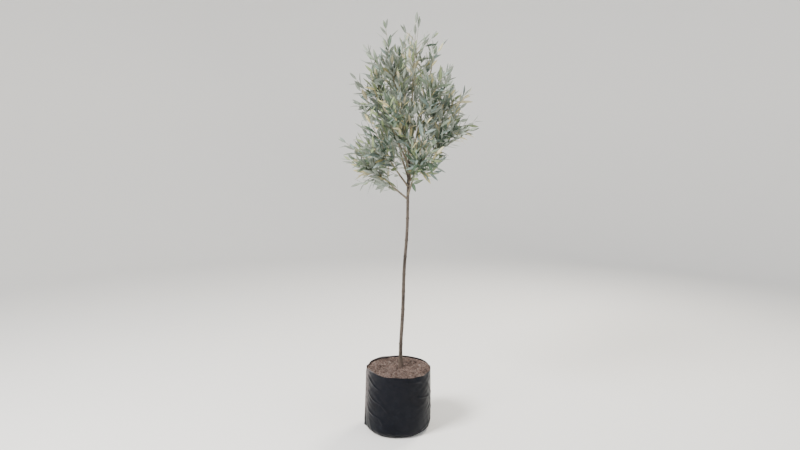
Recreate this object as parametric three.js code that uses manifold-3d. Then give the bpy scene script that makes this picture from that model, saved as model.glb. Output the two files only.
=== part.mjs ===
// A young olive tree trained as a standard, growing in a black film bag of potting mix.
// The trunk rises clear of leaves, and boughs wind round its top to carry an open crown.
// Each bough ends in its own mass of upright shoots, set with leaves in crossed pairs.
// Millimetres, +Z up. The origin is the middle of the bag's flat underside, on the ground.

import * as THREE from "three";
import { mergeVertices } from "three/addons/utils/BufferGeometryUtils.js";
import Module from "manifold-3d";

const wasm = await Module();
wasm.setup();

// Driving dimensions of the bag: depths of its relief are shares of its radius
const BAG_DIAMETER = 300;
const BAG_WALL = 2;
const BAG_LEAN = 8;
const BAG_SIDES = 32;
const BAG_TUCK = { share: 0.15, height: 10 };
const BAG_TAPER = { share: 0.035, power: 1.6 };
const BAG_BELLY = { share: 0.011, waves: 3, turn: 0.7, pitch: 110 };
const BAG_SLACK = { share: 0.007, waves: 7, turn: 2, pitch: -45 };
const BAG_PLEAT = { share: 0.042, spread: 0.11, bearings: [11.25, 191.25], height: 30 };
const RIM = { above: 7, rise: 2.6, bearing: 165, ripple: 1.2, waves: 5 };

// Driving dimensions of the potting mix
const MIX_LEVEL = 274;
const MIX_SLOPE = { x: -0.012, y: 0.012 };
const MIX_LUMP = { height: 2.5, x: 17, y: 14 };
const MIX_RINGS = [0.75, 0.45, 0.2];
const LEVEL_SPOT = { inner: 24, outer: 70 };

// Driving dimensions of the trunk
const FOOT = { x: 14, y: 4 };
const TRUNK_LEAN = 40;
const TRUNK_SWAY = 7;
const TRUNK_RADIUS = { foot: 8.6, fork: 5.6 };
const ROOT_FLARE = { extra: 5.5, height: 26 };
const FORK_HEIGHT = 1285;
const TRUNK_SIDES = 9;
const TRUNK_STEPS = 20;

// Driving dimensions of the boughs: slopes are degrees above level, lifts are per 100 mm
const BOUGH_COUNT = 13;
const BOUGH_HEIGHT = { low: 1045, high: 1250 };
const BOUGH_LENGTH = { low: 345, high: 500, varies: 0.07 };
const BOUGH_RISE = { low: 36, high: 71, leader: 87, varies: 5 };
const BOUGH_BEARING = { first: 160, turn: 137.508, varies: 12 };
const BOUGH_RADIUS = { base: 4.4, tip: 1.5 };
const BOUGH_LIFT = { near: 0.17, low: -0.13, high: 0.1 };
const BOUGH_SWAY = 0.06;
const BOUGH_SHARE = 0.22;
const BOUGH_STEPS = 20;
const BOUGH_SIDES = 6;
const BOUGH_RINGS = 4;

// Driving dimensions of the shoots that leave a mass's stem in crossed pairs
const SHOOT_PLACE = { first: 14, spacing: 50, last: 150 };
const SHOOT_ANGLE = { mean: 44, varies: 9 };
const SHOOT_TURN = 0.5;
const SHOOT_SHARE = { least: 0.45, most: 0.8, extra: 25 };
const SHOOT_LENGTH = { least: 75, most: 190 };
const SHOOT_LIFT = { near: 0.34, far: 0.2 };
const SHOOT_RADIUS = { base: 1.9, tip: 1.3 };
const SHOOT_STEPS = 3;
const STEM_STEPS = 8;
const STEM_SWELL = 1.25;
const TWIG_SIDES = 3;

// Driving dimensions of the leaves: each is larger than life and stands for several
const LEAF = { length: 82, width: 19, thickness: 1.4, sunk: 1 };
const LEAF_ANGLE = { side: 38, tip: 17, varies: 8 };
const LEAF_TURN = 0.6;
const LEAF_PAIRS = { spacing: 38, onStem: 30, onShoot: 12, closing: 2 };

// Clearances
const JOINT_GAP = 0.3;
const MIX_GAP = 0.4;
const SPACE_MARGIN = 1.5;
const LIMB_MARGIN = 3;
const WELD = 0.1;

const SEED = 20417;
const DRAW = {
  boughBearing: 1,
  boughRise: 2,
  boughLength: 3,
  boughSway: 4,
  shootTurn: 5,
  shootAngle: 6,
  shootLength: 7,
  leafAngle: 8,
  leafTurn: 9,
  stemLeaves: 99,
};
const UP = new THREE.Vector3(0, 0, 1);
const { lerp, degToRad, smoothstep, clamp } = THREE.MathUtils;

// A repeatable chance value from 0 to 1 for a few whole numbers
function chance(...keys) {
  let hash = SEED;
  for (const key of keys) {
    hash = Math.imul(hash ^ (key + 0x9e37), 0x85ebca6b);
    hash ^= hash >>> 13;
    hash = Math.imul(hash, 0xc2b2ae35);
    hash ^= hash >>> 16;
  }
  return (hash >>> 0) / 4294967296;
}

// A repeatable value between minus one and one
function spread(...keys) {
  return 2 * chance(...keys) - 1;
}

// A closed geometry as a solid, with only positions and its shared corners merged
function toSolid(geometry) {
  const bare = geometry.clone();
  bare.deleteAttribute("normal");
  bare.deleteAttribute("uv");
  const merged = mergeVertices(bare, 1e-4);
  return new wasm.Manifold(
    new wasm.Mesh({
      numProp: 3,
      vertProperties: merged.attributes.position.array,
      triVerts: new Uint32Array(merged.index.array),
    }),
  );
}

// A solid as a geometry again
function toGeometry(solid) {
  const mesh = solid.getMesh();
  const geometry = new THREE.BufferGeometry();
  geometry.setAttribute("position", new THREE.BufferAttribute(mesh.vertProperties, 3));
  geometry.setIndex(new THREE.BufferAttribute(mesh.triVerts, 1));
  return geometry;
}

// Materials

const filmBlack = new THREE.MeshStandardMaterial({ color: 0x1d2126, roughness: 0.5, metalness: 0 });
const barkMix = new THREE.MeshStandardMaterial({ color: 0x8a6450, roughness: 1, metalness: 0 });
const trunkBark = new THREE.MeshStandardMaterial({ color: 0x7d7060, roughness: 0.9, metalness: 0 });
const boughBark = new THREE.MeshStandardMaterial({ color: 0x857a63, roughness: 0.85, metalness: 0 });
const oliveLeaf = new THREE.MeshStandardMaterial({ color: 0x6f7f6a, roughness: 0.6, metalness: 0 });

// Bag and potting mix

// The bag's plain radius: tucked in at the foot, and a little narrower towards the rim
function bagRadius(z) {
  const tuck = 1 - BAG_TUCK.share * Math.exp(-z / BAG_TUCK.height);
  const taper = 1 - BAG_TAPER.share * (z / MIX_LEVEL) ** BAG_TAPER.power;
  return (BAG_DIAMETER / 2) * tuck * taper;
}

// How the filled film bulges between its two flattened pleats, as a factor on the radius
function bagRelief(bearing, z) {
  const wave = ({ share, waves, turn, pitch }) => share * Math.cos(waves * bearing + turn + z / pitch);
  const pleat = (middle) => {
    const off = bearing - degToRad(middle);
    const across = Math.atan2(Math.sin(off), Math.cos(off)) / BAG_PLEAT.spread;
    return BAG_PLEAT.share * Math.exp(-across * across) * smoothstep(z, 0, BAG_PLEAT.height);
  };
  return 1 + wave(BAG_BELLY) + wave(BAG_SLACK) + pleat(BAG_PLEAT.bearings[0]) + pleat(BAG_PLEAT.bearings[1]);
}

// The slope that the top of the mix and the rim share
function mixSlope(x, y) {
  return MIX_SLOPE.x * x + MIX_SLOPE.y * y;
}

// How the rim rises to one side, and ripples
function rimFold(bearing) {
  const rise = RIM.rise * Math.cos(bearing - degToRad(RIM.bearing));
  return rise + RIM.ripple * Math.cos(RIM.waves * bearing + 1);
}

// Bends a round, upright lathe shape to the bag's bulges, folds, lean and sloping top
function settleInBag(geometry) {
  const position = geometry.attributes.position;
  for (let i = 0; i < position.count; i++) {
    const z = position.getZ(i);
    const round = Math.hypot(position.getX(i), position.getY(i));
    const bearing = Math.atan2(position.getY(i), position.getX(i));
    const radius = round * bagRelief(bearing, Math.min(z, MIX_LEVEL));
    const x = radius * Math.cos(bearing);
    const y = radius * Math.sin(bearing);
    const slope = z < MIX_LEVEL ? 0 : mixSlope(x, y);
    const fold = z > MIX_LEVEL ? rimFold(bearing) : 0;
    position.setXYZ(i, x + (BAG_LEAN * z) / MIX_LEVEL, y, z + slope + fold);
  }
  return geometry;
}

// A round solid with the bag's side, moved in by an inset, and with rings across its top
function filling(inset, floor, levels, rings = []) {
  const side = levels.map((z) => [bagRadius(z) - inset, z]);
  const [brim, top] = side.at(-1);
  const across = rings.map((share) => [brim * share, top]);
  const rows = [[0, floor], [bagRadius(0) - inset, floor], ...side, ...across, [0, top]];
  const profile = rows.map(([radius, z]) => new THREE.Vector2(radius, z));
  return settleInBag(new THREE.LatheGeometry(profile, BAG_SIDES).rotateX(Math.PI / 2));
}

const SIDE_LEVELS = [8, 40, 100, 170, 232, MIX_LEVEL];
const RIM_LEVEL = MIX_LEVEL + RIM.above;

function growBag() {
  const outside = filling(0, 0, [...SIDE_LEVELS, RIM_LEVEL]);
  const cavity = filling(BAG_WALL, BAG_WALL, [...SIDE_LEVELS, RIM_LEVEL + 2 * RIM.above]);
  return toGeometry(toSolid(outside).subtract(toSolid(cavity)));
}

// The potting mix fills the bag. Its top slopes and is lumpy, but is level round the trunk's foot
function pottingMix() {
  const inset = BAG_WALL + MIX_GAP;
  const geometry = filling(inset, inset, SIDE_LEVELS, MIX_RINGS);
  const position = geometry.attributes.position;
  for (let i = 0; i < position.count; i++) {
    const x = position.getX(i) - BAG_LEAN;
    const y = position.getY(i);
    const slope = mixSlope(x, y);
    if (position.getZ(i) - slope < MIX_LEVEL - 1) continue;
    const fromTrunk = Math.hypot(x + BAG_LEAN - FOOT.x, y - FOOT.y);
    const free = smoothstep(fromTrunk, LEVEL_SPOT.inner, LEVEL_SPOT.outer);
    const offRim = 1 - smoothstep(Math.hypot(x, y) / bagRadius(MIX_LEVEL), 0.8, 0.95);
    const lumps = MIX_LUMP.height * offRim * Math.sin(x / MIX_LUMP.x + 1) * Math.sin(y / MIX_LUMP.y);
    position.setZ(i, MIX_LEVEL + free * (slope + lumps));
  }
  return geometry;
}

// Lines of growth

// A station's sideways direction, carried along from the last so that the limb doesn't twist
function carriedSide(along, last) {
  const side = last ? last.clone() : new THREE.Vector3().crossVectors(along, UP);
  if (side.lengthSq() < 1e-6) side.set(1, 0, 0);
  return side.addScaledVector(along, -side.dot(along)).normalize();
}

// Grows a line of stations from a start. Its heading turns up by the lift, near to far,
// and weaves sideways by the sway, both for each 100 mm of growth
function growLine({ start, heading, length, steps, lift, sway = 0, phase = 0 }) {
  const point = start.clone();
  const along = heading.clone().normalize();
  const across = new THREE.Vector3(-along.y, along.x, 0);
  const step = length / steps;
  const stations = [];
  for (let i = 0; i <= steps; i++) {
    const side = carriedSide(along, stations.at(-1)?.side);
    stations.push({ point: point.clone(), along: along.clone(), side, reached: i * step });
    const share = i / steps;
    along.z += (lerp(lift.near, lift.far, share) * step) / 100;
    along.addScaledVector(across, (sway * Math.cos(7 * share + phase) * step) / 100);
    along.normalize();
    point.addScaledVector(along, step);
  }
  return stations;
}

// The station at any distance along a line
function stationAt(line, reached) {
  const step = line[1].reached - line[0].reached;
  const index = clamp(Math.floor((reached - line[0].reached) / step), 0, line.length - 2);
  const from = line[index];
  const to = line[index + 1];
  const share = clamp((reached - from.reached) / step, 0, 1);
  const along = from.along.clone().lerp(to.along, share).normalize();
  const point = from.point.clone().lerp(to.point, share);
  return { point, along, side: carriedSide(along, from.side), reached };
}

// A stretch of a line, in even steps
function stretch(line, from, to, steps) {
  return Array.from({ length: steps + 1 }, (_, i) => stationAt(line, lerp(from, to, i / steps)));
}

// A direction leaning off a station's line, by an angle out and a turn round it, in radians
function leaning({ along, side }, angle, turn) {
  const other = new THREE.Vector3().crossVectors(side, along);
  const out = side.clone().multiplyScalar(Math.cos(turn)).addScaledVector(other, Math.sin(turn));
  return along.clone().multiplyScalar(Math.cos(angle)).addScaledVector(out, Math.sin(angle));
}

// A round limb: a unit cylinder whose rings are set at the stations, with radiusAt(share)
function limb(stations, radiusAt, sides) {
  const steps = stations.length - 1;
  const geometry = new THREE.CylinderGeometry(1, 1, 1, sides, steps);
  const position = geometry.attributes.position;
  for (let i = 0; i < position.count; i++) {
    const share = position.getY(i) + 0.5;
    const { point, along, side } = stations[Math.round(share * steps)];
    const other = new THREE.Vector3().crossVectors(side, along);
    const radius = radiusAt(share);
    const place = point.clone();
    place.addScaledVector(side, position.getX(i) * radius);
    place.addScaledVector(other, position.getZ(i) * radius);
    position.setXYZ(i, place.x, place.y, place.z);
  }
  return geometry;
}

// Trunk

// The trunk's line: upright at the foot and the fork, leaning and swaying between
function trunkLine() {
  const points = Array.from({ length: TRUNK_STEPS + 1 }, (_, i) => {
    const share = i / TRUNK_STEPS;
    const lean = share - Math.sin(2 * Math.PI * share) / (2 * Math.PI);
    const sway = TRUNK_SWAY * Math.sin(2 * Math.PI * share) ** 2;
    const x = FOOT.x + TRUNK_LEAN * lean + sway * Math.sin(5 * share);
    const z = lerp(MIX_LEVEL + JOINT_GAP, FORK_HEIGHT, share);
    return new THREE.Vector3(x, FOOT.y + sway, z);
  });
  return points.map((point, i) => {
    const atEnd = i === 0 || i === TRUNK_STEPS;
    const along = atEnd ? UP.clone() : points[i + 1].clone().sub(points[i - 1]).normalize();
    const side = carriedSide(along, new THREE.Vector3(1, 0, 0));
    return { point, along, side, reached: point.z };
  });
}

function trunkRadius(share) {
  const above = share * (FORK_HEIGHT - MIX_LEVEL);
  const flare = ROOT_FLARE.extra * Math.exp(-above / ROOT_FLARE.height);
  return lerp(TRUNK_RADIUS.foot, TRUNK_RADIUS.fork, share) + flare;
}

const trunk = trunkLine();

// Boughs

// Each bough's line winds on round the trunk by the golden angle, higher and steeper than the last.
// The last is the leader, which carries on from the top of the trunk
function boughLine(index) {
  const share = index / (BOUGH_COUNT - 1);
  const leader = index === BOUGH_COUNT - 1;
  const turn = BOUGH_BEARING.turn * index + BOUGH_BEARING.varies * spread(index, DRAW.boughBearing);
  const bearing = degToRad(BOUGH_BEARING.first + turn);
  const slope = lerp(BOUGH_RISE.low, BOUGH_RISE.high, share);
  const varied = slope + BOUGH_RISE.varies * spread(index, DRAW.boughRise);
  const rise = degToRad(leader ? BOUGH_RISE.leader : varied);
  const height = lerp(BOUGH_HEIGHT.low, BOUGH_HEIGHT.high, index / (BOUGH_COUNT - 2));
  const start = leader ? trunk.at(-1).point.clone() : stationAt(trunk, height).point;
  if (leader) start.z += JOINT_GAP;
  const heading = new THREE.Vector3(
    Math.cos(bearing) * Math.cos(rise),
    Math.sin(bearing) * Math.cos(rise),
    Math.sin(rise),
  );
  const varies = 1 + BOUGH_LENGTH.varies * spread(index, DRAW.boughLength);
  const length = lerp(BOUGH_LENGTH.low, BOUGH_LENGTH.high, share) * varies;
  const arch = lerp(BOUGH_LIFT.low, BOUGH_LIFT.high, smoothstep(share, 0, 0.35));
  const lift = leader ? { near: 0, far: 0 } : { near: BOUGH_LIFT.near, far: arch };
  const phase = 6 * chance(index, DRAW.boughSway);
  return growLine({ start, heading, length, steps: BOUGH_STEPS, lift, sway: BOUGH_SWAY, phase });
}

const boughs = Array.from({ length: BOUGH_COUNT }, (_, index) => boughLine(index));

function boughRadius(line, reached) {
  return lerp(BOUGH_RADIUS.base, BOUGH_RADIUS.tip, reached / line.at(-1).reached);
}

// The bare part of a bough, cut off where it enters the trunk
function bough(line, sleeve) {
  const end = BOUGH_SHARE * line.at(-1).reached;
  const taper = (share) => boughRadius(line, share * end);
  const whole = toSolid(limb(stretch(line, 0, end, BOUGH_RINGS), taper, BOUGH_SIDES));
  return toGeometry(whole.subtract(sleeve));
}

// Space for each mass

// The distance from a point to a line of stations
function distanceToLine(point, line) {
  const segment = new THREE.Line3();
  const nearest = new THREE.Vector3();
  let least = Infinity;
  for (let i = 1; i < line.length; i++) {
    segment.set(line[i - 1].point, line[i].point);
    segment.closestPointToPoint(point, true, nearest);
    least = Math.min(least, nearest.distanceTo(point));
  }
  return least;
}

// A point is in a mass's own space where its bough's line is the nearest, and it is off the trunk
function inOwnSpace(point, index, reach) {
  const own = distanceToLine(point, boughs[index]) + 2 * (reach + SPACE_MARGIN);
  const crossed = boughs.some((line, other) => other !== index && distanceToLine(point, line) < own);
  return !crossed && distanceToLine(point, trunk) > TRUNK_RADIUS.foot + reach + LIMB_MARGIN;
}

// Whether a point keeps off the bare part of the bough that carries its own mass
function clearOfBough(point, index) {
  const bare = boughs[index].slice(0, Math.ceil(BOUGH_STEPS * BOUGH_SHARE) + 1);
  return distanceToLine(point, bare) > BOUGH_RADIUS.base + LIMB_MARGIN;
}

// Masses of foliage

// A leaf: a long pointed blade with a keel below it, whose foot is sunk in the twig.
// Its corners, in pairs along the blade, are what has to keep to the mass's space
function leaf(station, angle, turn) {
  const length = leaning(station, degToRad(angle), turn).normalize();
  const width = new THREE.Vector3().crossVectors(length, station.along).normalize();
  const upper = new THREE.Vector3().crossVectors(width, length).normalize();
  const place = new THREE.Matrix4().makeBasis(
    width.clone().multiplyScalar(LEAF.width / Math.sqrt(3)),
    length.clone().multiplyScalar(LEAF.length / 2),
    upper.clone().multiplyScalar((LEAF.thickness * 2) / 3),
  );
  const along = (share) => station.point.clone().addScaledVector(length, LEAF.length * share - LEAF.sunk);
  place.setPosition(along(0.5));
  const blade = new THREE.SphereGeometry(1, 3, 2).rotateY(-Math.PI / 2).applyMatrix4(place);
  const corners = [0.25, 0.5, 0.75, 1].flatMap((share) => {
    const half = (LEAF.width / 2) * Math.min(2 * share, 2 - 2 * share);
    return [-half, half].map((off) => along(share).addScaledVector(width, off));
  });
  return { blade, corners };
}

// The side shoots that a mass might grow, as lines that leave its stem in crossed pairs
function shootLines(index) {
  const line = boughs[index];
  const end = line.at(-1).reached;
  const first = end * BOUGH_SHARE + SHOOT_PLACE.first;
  const pairs = Math.ceil((end - SHOOT_PLACE.last - first) / SHOOT_PLACE.spacing);
  return Array.from({ length: 2 * pairs }, (_, place) => {
    const pair = Math.floor(place / 2);
    const reached = first + SHOOT_PLACE.spacing * pair;
    const station = stationAt(line, reached);
    const turn = (Math.PI / 2) * pair + Math.PI * (place % 2);
    const varied = turn + SHOOT_TURN * spread(index, place, DRAW.shootTurn);
    const angle = SHOOT_ANGLE.mean + SHOOT_ANGLE.varies * spread(index, place, DRAW.shootAngle);
    const heading = leaning(station, degToRad(angle), varied);
    const share = lerp(SHOOT_SHARE.least, SHOOT_SHARE.most, chance(index, place, DRAW.shootLength));
    const wanted = (end - reached) * share + SHOOT_SHARE.extra;
    const length = clamp(wanted, SHOOT_LENGTH.least, SHOOT_LENGTH.most);
    return growLine({ start: station.point, heading, length, steps: SHOOT_STEPS, lift: SHOOT_LIFT });
  });
}

// The leaves along a line: crossed pairs, and a closing pair at its tip
function leavesAlong(line, from, key) {
  const end = line.at(-1).reached;
  const pairs = Math.max(1, Math.round((end - from) / LEAF_PAIRS.spacing));
  return Array.from({ length: pairs }, (_, i) => {
    const pair = i + 1;
    const station = stationAt(line, lerp(from, end - LEAF_PAIRS.closing, pair / pairs));
    const side = LEAF_ANGLE.side + LEAF_ANGLE.varies * spread(...key, pair, DRAW.leafAngle);
    const angle = pair === pairs ? LEAF_ANGLE.tip : side;
    const turn = (Math.PI / 2) * pair + LEAF_TURN * spread(...key, pair, DRAW.leafTurn);
    return [leaf(station, angle, turn), leaf(station, angle, turn + Math.PI)];
  }).flat();
}

// One mass: a stem that goes on from its bough, shoots that leave it, and leaves on both
function foliage(index) {
  const line = boughs[index];
  const end = line.at(-1).reached;
  const from = end * BOUGH_SHARE + JOINT_GAP;
  const stemTaper = (share) => STEM_SWELL * boughRadius(line, lerp(from, end, share));
  const shootTaper = (share) => lerp(SHOOT_RADIUS.base, SHOOT_RADIUS.tip, share);
  const pieces = [toSolid(limb(stretch(line, from, end, STEM_STEPS), stemTaper, TWIG_SIDES))];
  const leaves = leavesAlong(line, from + LEAF_PAIRS.onStem, [index, DRAW.stemLeaves]);
  shootLines(index).forEach((shoot, place) => {
    const roomy = shoot.slice(1).every(({ point }) => inOwnSpace(point, index, SHOOT_RADIUS.base));
    if (!roomy) return;
    pieces.push(toSolid(limb(shoot, shootTaper, TWIG_SIDES)));
    leaves.push(...leavesAlong(shoot, LEAF_PAIRS.onShoot, [index, place]));
  });
  for (const { blade, corners } of leaves) {
    const free = corners.every((corner) => inOwnSpace(corner, index, 0) && clearOfBough(corner, index));
    if (free) pieces.push(toSolid(blade));
  }
  return toGeometry(wasm.Manifold.union(pieces).simplify(WELD));
}

// The tree

const tree = new THREE.Group();

function add(name, geometry, material) {
  const mesh = new THREE.Mesh(geometry, material);
  mesh.name = name;
  tree.add(mesh);
}

add("grow_bag", growBag(), filmBlack);
add("potting_mix", pottingMix(), barkMix);
add("trunk", limb(trunk, trunkRadius, TRUNK_SIDES), trunkBark);

const sleeve = toSolid(limb(trunk, (share) => trunkRadius(share) + JOINT_GAP, TRUNK_SIDES));
boughs.forEach((line, index) => {
  const label = index === BOUGH_COUNT - 1 ? "leader" : "bough_" + (index + 1);
  add(label, bough(line, sleeve), boughBark);
  add("foliage_" + (index + 1), foliage(index), oliveLeaf);
});

export default tree;
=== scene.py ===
# %% [markdown]
# # A young olive standard in its grow bag
#
# An olive sold as a standard has a bare trunk, cleared of its lower shoots, and a crown of
# upright twigs set with narrow leaves in crossed pairs. It stands in a bag of thin black film.
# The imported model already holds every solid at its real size. This lesson gives it its looks:
# bark on the trunk and boughs, two thousand leaves, creased film and crumbly bark mix.
# All lengths are metres, and every piece is worked out as arrays with numpy.

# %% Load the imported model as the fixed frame
import math

import bpy
import numpy as np
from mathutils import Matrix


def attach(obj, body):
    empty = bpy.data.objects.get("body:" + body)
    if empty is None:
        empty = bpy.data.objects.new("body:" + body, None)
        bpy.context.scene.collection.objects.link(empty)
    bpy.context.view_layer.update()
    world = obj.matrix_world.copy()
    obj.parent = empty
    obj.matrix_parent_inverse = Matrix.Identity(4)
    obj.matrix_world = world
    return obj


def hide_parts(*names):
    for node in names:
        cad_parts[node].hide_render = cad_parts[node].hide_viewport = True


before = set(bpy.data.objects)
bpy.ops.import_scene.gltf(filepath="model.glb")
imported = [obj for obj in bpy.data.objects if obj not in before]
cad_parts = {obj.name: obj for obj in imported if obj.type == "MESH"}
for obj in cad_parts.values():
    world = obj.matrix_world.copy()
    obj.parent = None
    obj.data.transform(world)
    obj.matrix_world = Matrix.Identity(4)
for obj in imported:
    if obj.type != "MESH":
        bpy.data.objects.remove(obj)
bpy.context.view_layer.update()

MM = 0.001
TAU = 2 * math.pi

# %% [markdown]
# ## Camera
#
# The photograph was taken at chest height, about two and a half metres away, with the wide
# lens of a telephone, tilted a little down. The same place and lens are used here, turned
# so that the whole plant stands in the middle of the picture. A constraint could aim the
# camera, but plain numbers say exactly where it stands.

# %% Place the camera at the photograph's height and distance
EYE = (0.012, -2.64, 1.25)
TILT_DOWN = 6.9
SENSOR_WIDTH = 36
LENS = 27

camera = bpy.data.objects.new("camera", bpy.data.cameras.new("camera"))
bpy.context.scene.collection.objects.link(camera)
camera.data.sensor_width = SENSOR_WIDTH
camera.data.lens = LENS
camera.location = EYE
camera.rotation_euler = (math.radians(90 - TILT_DOWN), 0, 0)
bpy.context.scene.camera = camera
print("camera at", EYE, "metres")

# %% [markdown]
# ## Repeatable chance
#
# A plant looks natural because nothing on it repeats exactly. Each shoot and twig draws its
# own values from a small mixing function of whole numbers, so the tree grows the same way
# every time. The solids use the same function and the same numbers for the same draws, and
# so the shoots here leave the boughs where theirs do. Leaves and fine relief use numpy's
# generator, always with a fixed seed.

# %% Draw chance values from whole numbers
SEED = 20417
WORD = 0xFFFFFFFF
KEY_OFFSET = 0x9E37
MIXING_ROUNDS = ((0x85EBCA6B, 13), (0xC2B2AE35, 16))
DRAW = {
    "bough_bearing": 1,
    "bough_rise": 2,
    "bough_length": 3,
    "bough_sway": 4,
    "shoot_turn": 5,
    "shoot_angle": 6,
    "shoot_length": 7,
    "twig_missing": 11,
    "twig_place": 12,
    "twig_turn": 13,
    "twig_angle": 14,
    "twig_length": 15,
}


def chance(*keys):
    """A value from 0 to 1: each key is mixed in by two rounds of a multiplication and a shift."""
    mixed = SEED
    for key in keys:
        mixed ^= key + KEY_OFFSET
        for multiplier, shift in MIXING_ROUNDS:
            mixed = (mixed * multiplier) & WORD
            mixed ^= mixed >> shift
    return mixed / (WORD + 1)


def spread(*keys):
    """A value from -1 to 1: twice a chance value, less one."""
    return 2 * chance(*keys) - 1


print("first chance values:", [round(chance(key), 4) for key in range(4)])

# %% Mix, ease and ripple values
RIPPLE_WAVES = 36


def mix(low, high, share):
    """The value that lies a share of the way from low to high."""
    return low + (high - low) * share


def ease(value, low, high):
    """0 below low, 1 above high, and 3t^2 - 2t^3 of the share t between them."""
    share = np.clip((value - low) / (high - low), 0, 1)
    return share * share * (3 - 2 * share)


def unit(vectors):
    """Each vector divided by its length."""
    return vectors / np.linalg.norm(vectors, axis=-1, keepdims=True)


def wave_numbers(draw, low, high):
    """Random numbers between two limits, with random signs. Whole limits give whole numbers, so
    that the waves meet again after a full turn."""
    if isinstance(low, int):
        sizes = draw.integers(low, high + 1, RIPPLE_WAVES)
    else:
        sizes = draw.uniform(low, high, RIPPLE_WAVES)
    return sizes * draw.choice((-1, 1), RIPPLE_WAVES)


def ripple(places, waves, seed):
    """Smooth relief, mostly from -1 to 1: the sum of cosines along random waves, divided by the
    square root of their number. waves has a (low, high) in radians per unit for each of places."""
    draw = np.random.default_rng(seed)
    columns = [wave_numbers(draw, low, high) for low, high in waves]
    phases = draw.uniform(0, TAU, RIPPLE_WAVES)
    total = np.zeros(places[0].shape)
    for *numbers, phase in zip(*columns, phases):
        angle = sum(number * place for number, place in zip(numbers, places))
        total += np.cos(angle + phase)
    return total / math.sqrt(RIPPLE_WAVES)


strip = ripple([np.linspace(0, 1, 200)], [(8.0, 30.0)], 1)
print("a ripple strays from 0 by", round(float(strip.std()), 2), "on average")

# %% [markdown]
# ## Surfaces from arrays
#
# Bark and slack film are thin skins with a smooth but uneven form. They could be sculpted, or
# built up by modifiers, but a formula can be read, repeated and changed. A grid of points
# becomes a mesh when each cell gets one four-sided face. The grid wraps round in its second
# direction, and one point at each end closes it, so every skin is closed. Blender takes whole
# arrays through foreach_set, which is far quicker than adding faces one at a time.

# %% Turn arrays of points and faces into a mesh object
def mesh_object(name, points, faces, materials, uv=None, face_material=None):
    """A mesh of arrays: faces is a list of (count, corners) arrays of point numbers."""
    mesh = bpy.data.meshes.new(name)
    corners = np.concatenate([part.ravel() for part in faces]).astype(np.int32)
    sizes = np.concatenate([np.full(len(part), part.shape[1]) for part in faces])
    starts = np.concatenate([[0], np.cumsum(sizes)[:-1]]).astype(np.int32)
    mesh.vertices.add(len(points))
    mesh.vertices.foreach_set("co", points.astype(np.float32).ravel())
    mesh.loops.add(len(corners))
    mesh.loops.foreach_set("vertex_index", corners)
    mesh.polygons.add(len(sizes))
    mesh.polygons.foreach_set("loop_start", starts)
    for material in materials:
        mesh.materials.append(material)
    if face_material is not None:
        mesh.polygons.foreach_set("material_index", face_material.astype(np.int32))
    if uv is not None:
        layer = mesh.uv_layers.new(name="UVMap")
        layer.data.foreach_set("uv", uv[corners].astype(np.float32).ravel())
    mesh.update(calc_edges=True)
    mesh.polygons.foreach_set("use_smooth", np.ones(len(sizes), bool))
    piece = bpy.data.objects.new(name, mesh)
    bpy.context.scene.collection.objects.link(piece)
    return piece


def triangles(piece):
    """How many triangles a piece's faces make."""
    piece.data.calc_loop_triangles()
    return len(piece.data.loop_triangles)


print("the solids have", sum(len(mesh.polygons) for mesh in bpy.data.meshes), "triangles")

# %% Close a wrapped grid into a skin
def grid_faces(rows, columns, inward=False):
    """Four-sided faces of a wrapped grid, and the three-sided fans that close its two ends."""
    row, column = np.meshgrid(np.arange(rows - 1), np.arange(columns), indexing="ij")
    here = row * columns
    above = here + columns
    following = (column + 1) % columns
    quads = np.stack([here + column, here + following, above + following, above + column], -1)
    ring = np.arange(columns)
    after = (ring + 1) % columns
    last = (rows - 1) * columns
    first_pole = np.full(columns, rows * columns)
    start = np.stack([after, ring, first_pole], -1)
    end = np.stack([last + ring, last + after, first_pole + 1], -1)
    faces = [quads.reshape(-1, 4), start, end]
    return [part[:, ::-1] for part in faces] if inward else faces


def wrapped_surface(name, grid, poles, materials, inward=False):
    """A closed skin: grid is (rows, columns, 3), and the two poles close its first and last rows."""
    rows, columns, _ = grid.shape
    points = np.concatenate([grid.reshape(-1, 3), np.array(poles)])
    return mesh_object(name, points, grid_faces(rows, columns, inward), materials)


print("a skin of 3 rings of 8 points has", sum(len(part) for part in grid_faces(3, 8)), "faces")

# %% [markdown]
# ## Lines of growth
#
# Every limb follows a line of stations. A station has a point, the direction along the limb,
# and a sideways direction that is carried from one station to the next, so that a limb never
# twists. The heading turns up, or sags, by a set lift for each 100 mm, which gives a shoot
# the shape of one reaching for the light. Curves drawn by hand could do the same, but not
# for hundreds of twigs. This is the rule of the solids, written again.

# %% Grow a line of stations
UP = np.array([0.0, 0.0, 1.0])
LEVEL_SIDE = np.array([1.0, 0.0, 0.0])
NEARLY_UPRIGHT = 1e-6
LIFT_LENGTH = 100 * MM
SWAY_TURN = 7


def carried_side(along, last):
    """The last side direction, made square to along."""
    side = last - along * np.sum(last * along, axis=-1, keepdims=True)
    return unit(side)


def first_side(along):
    """A level direction square to along, or +X where along is upright."""
    side = np.cross(along, UP)
    if side @ side < NEARLY_UPRIGHT:
        side = LEVEL_SIDE
    return carried_side(along, side)


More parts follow.
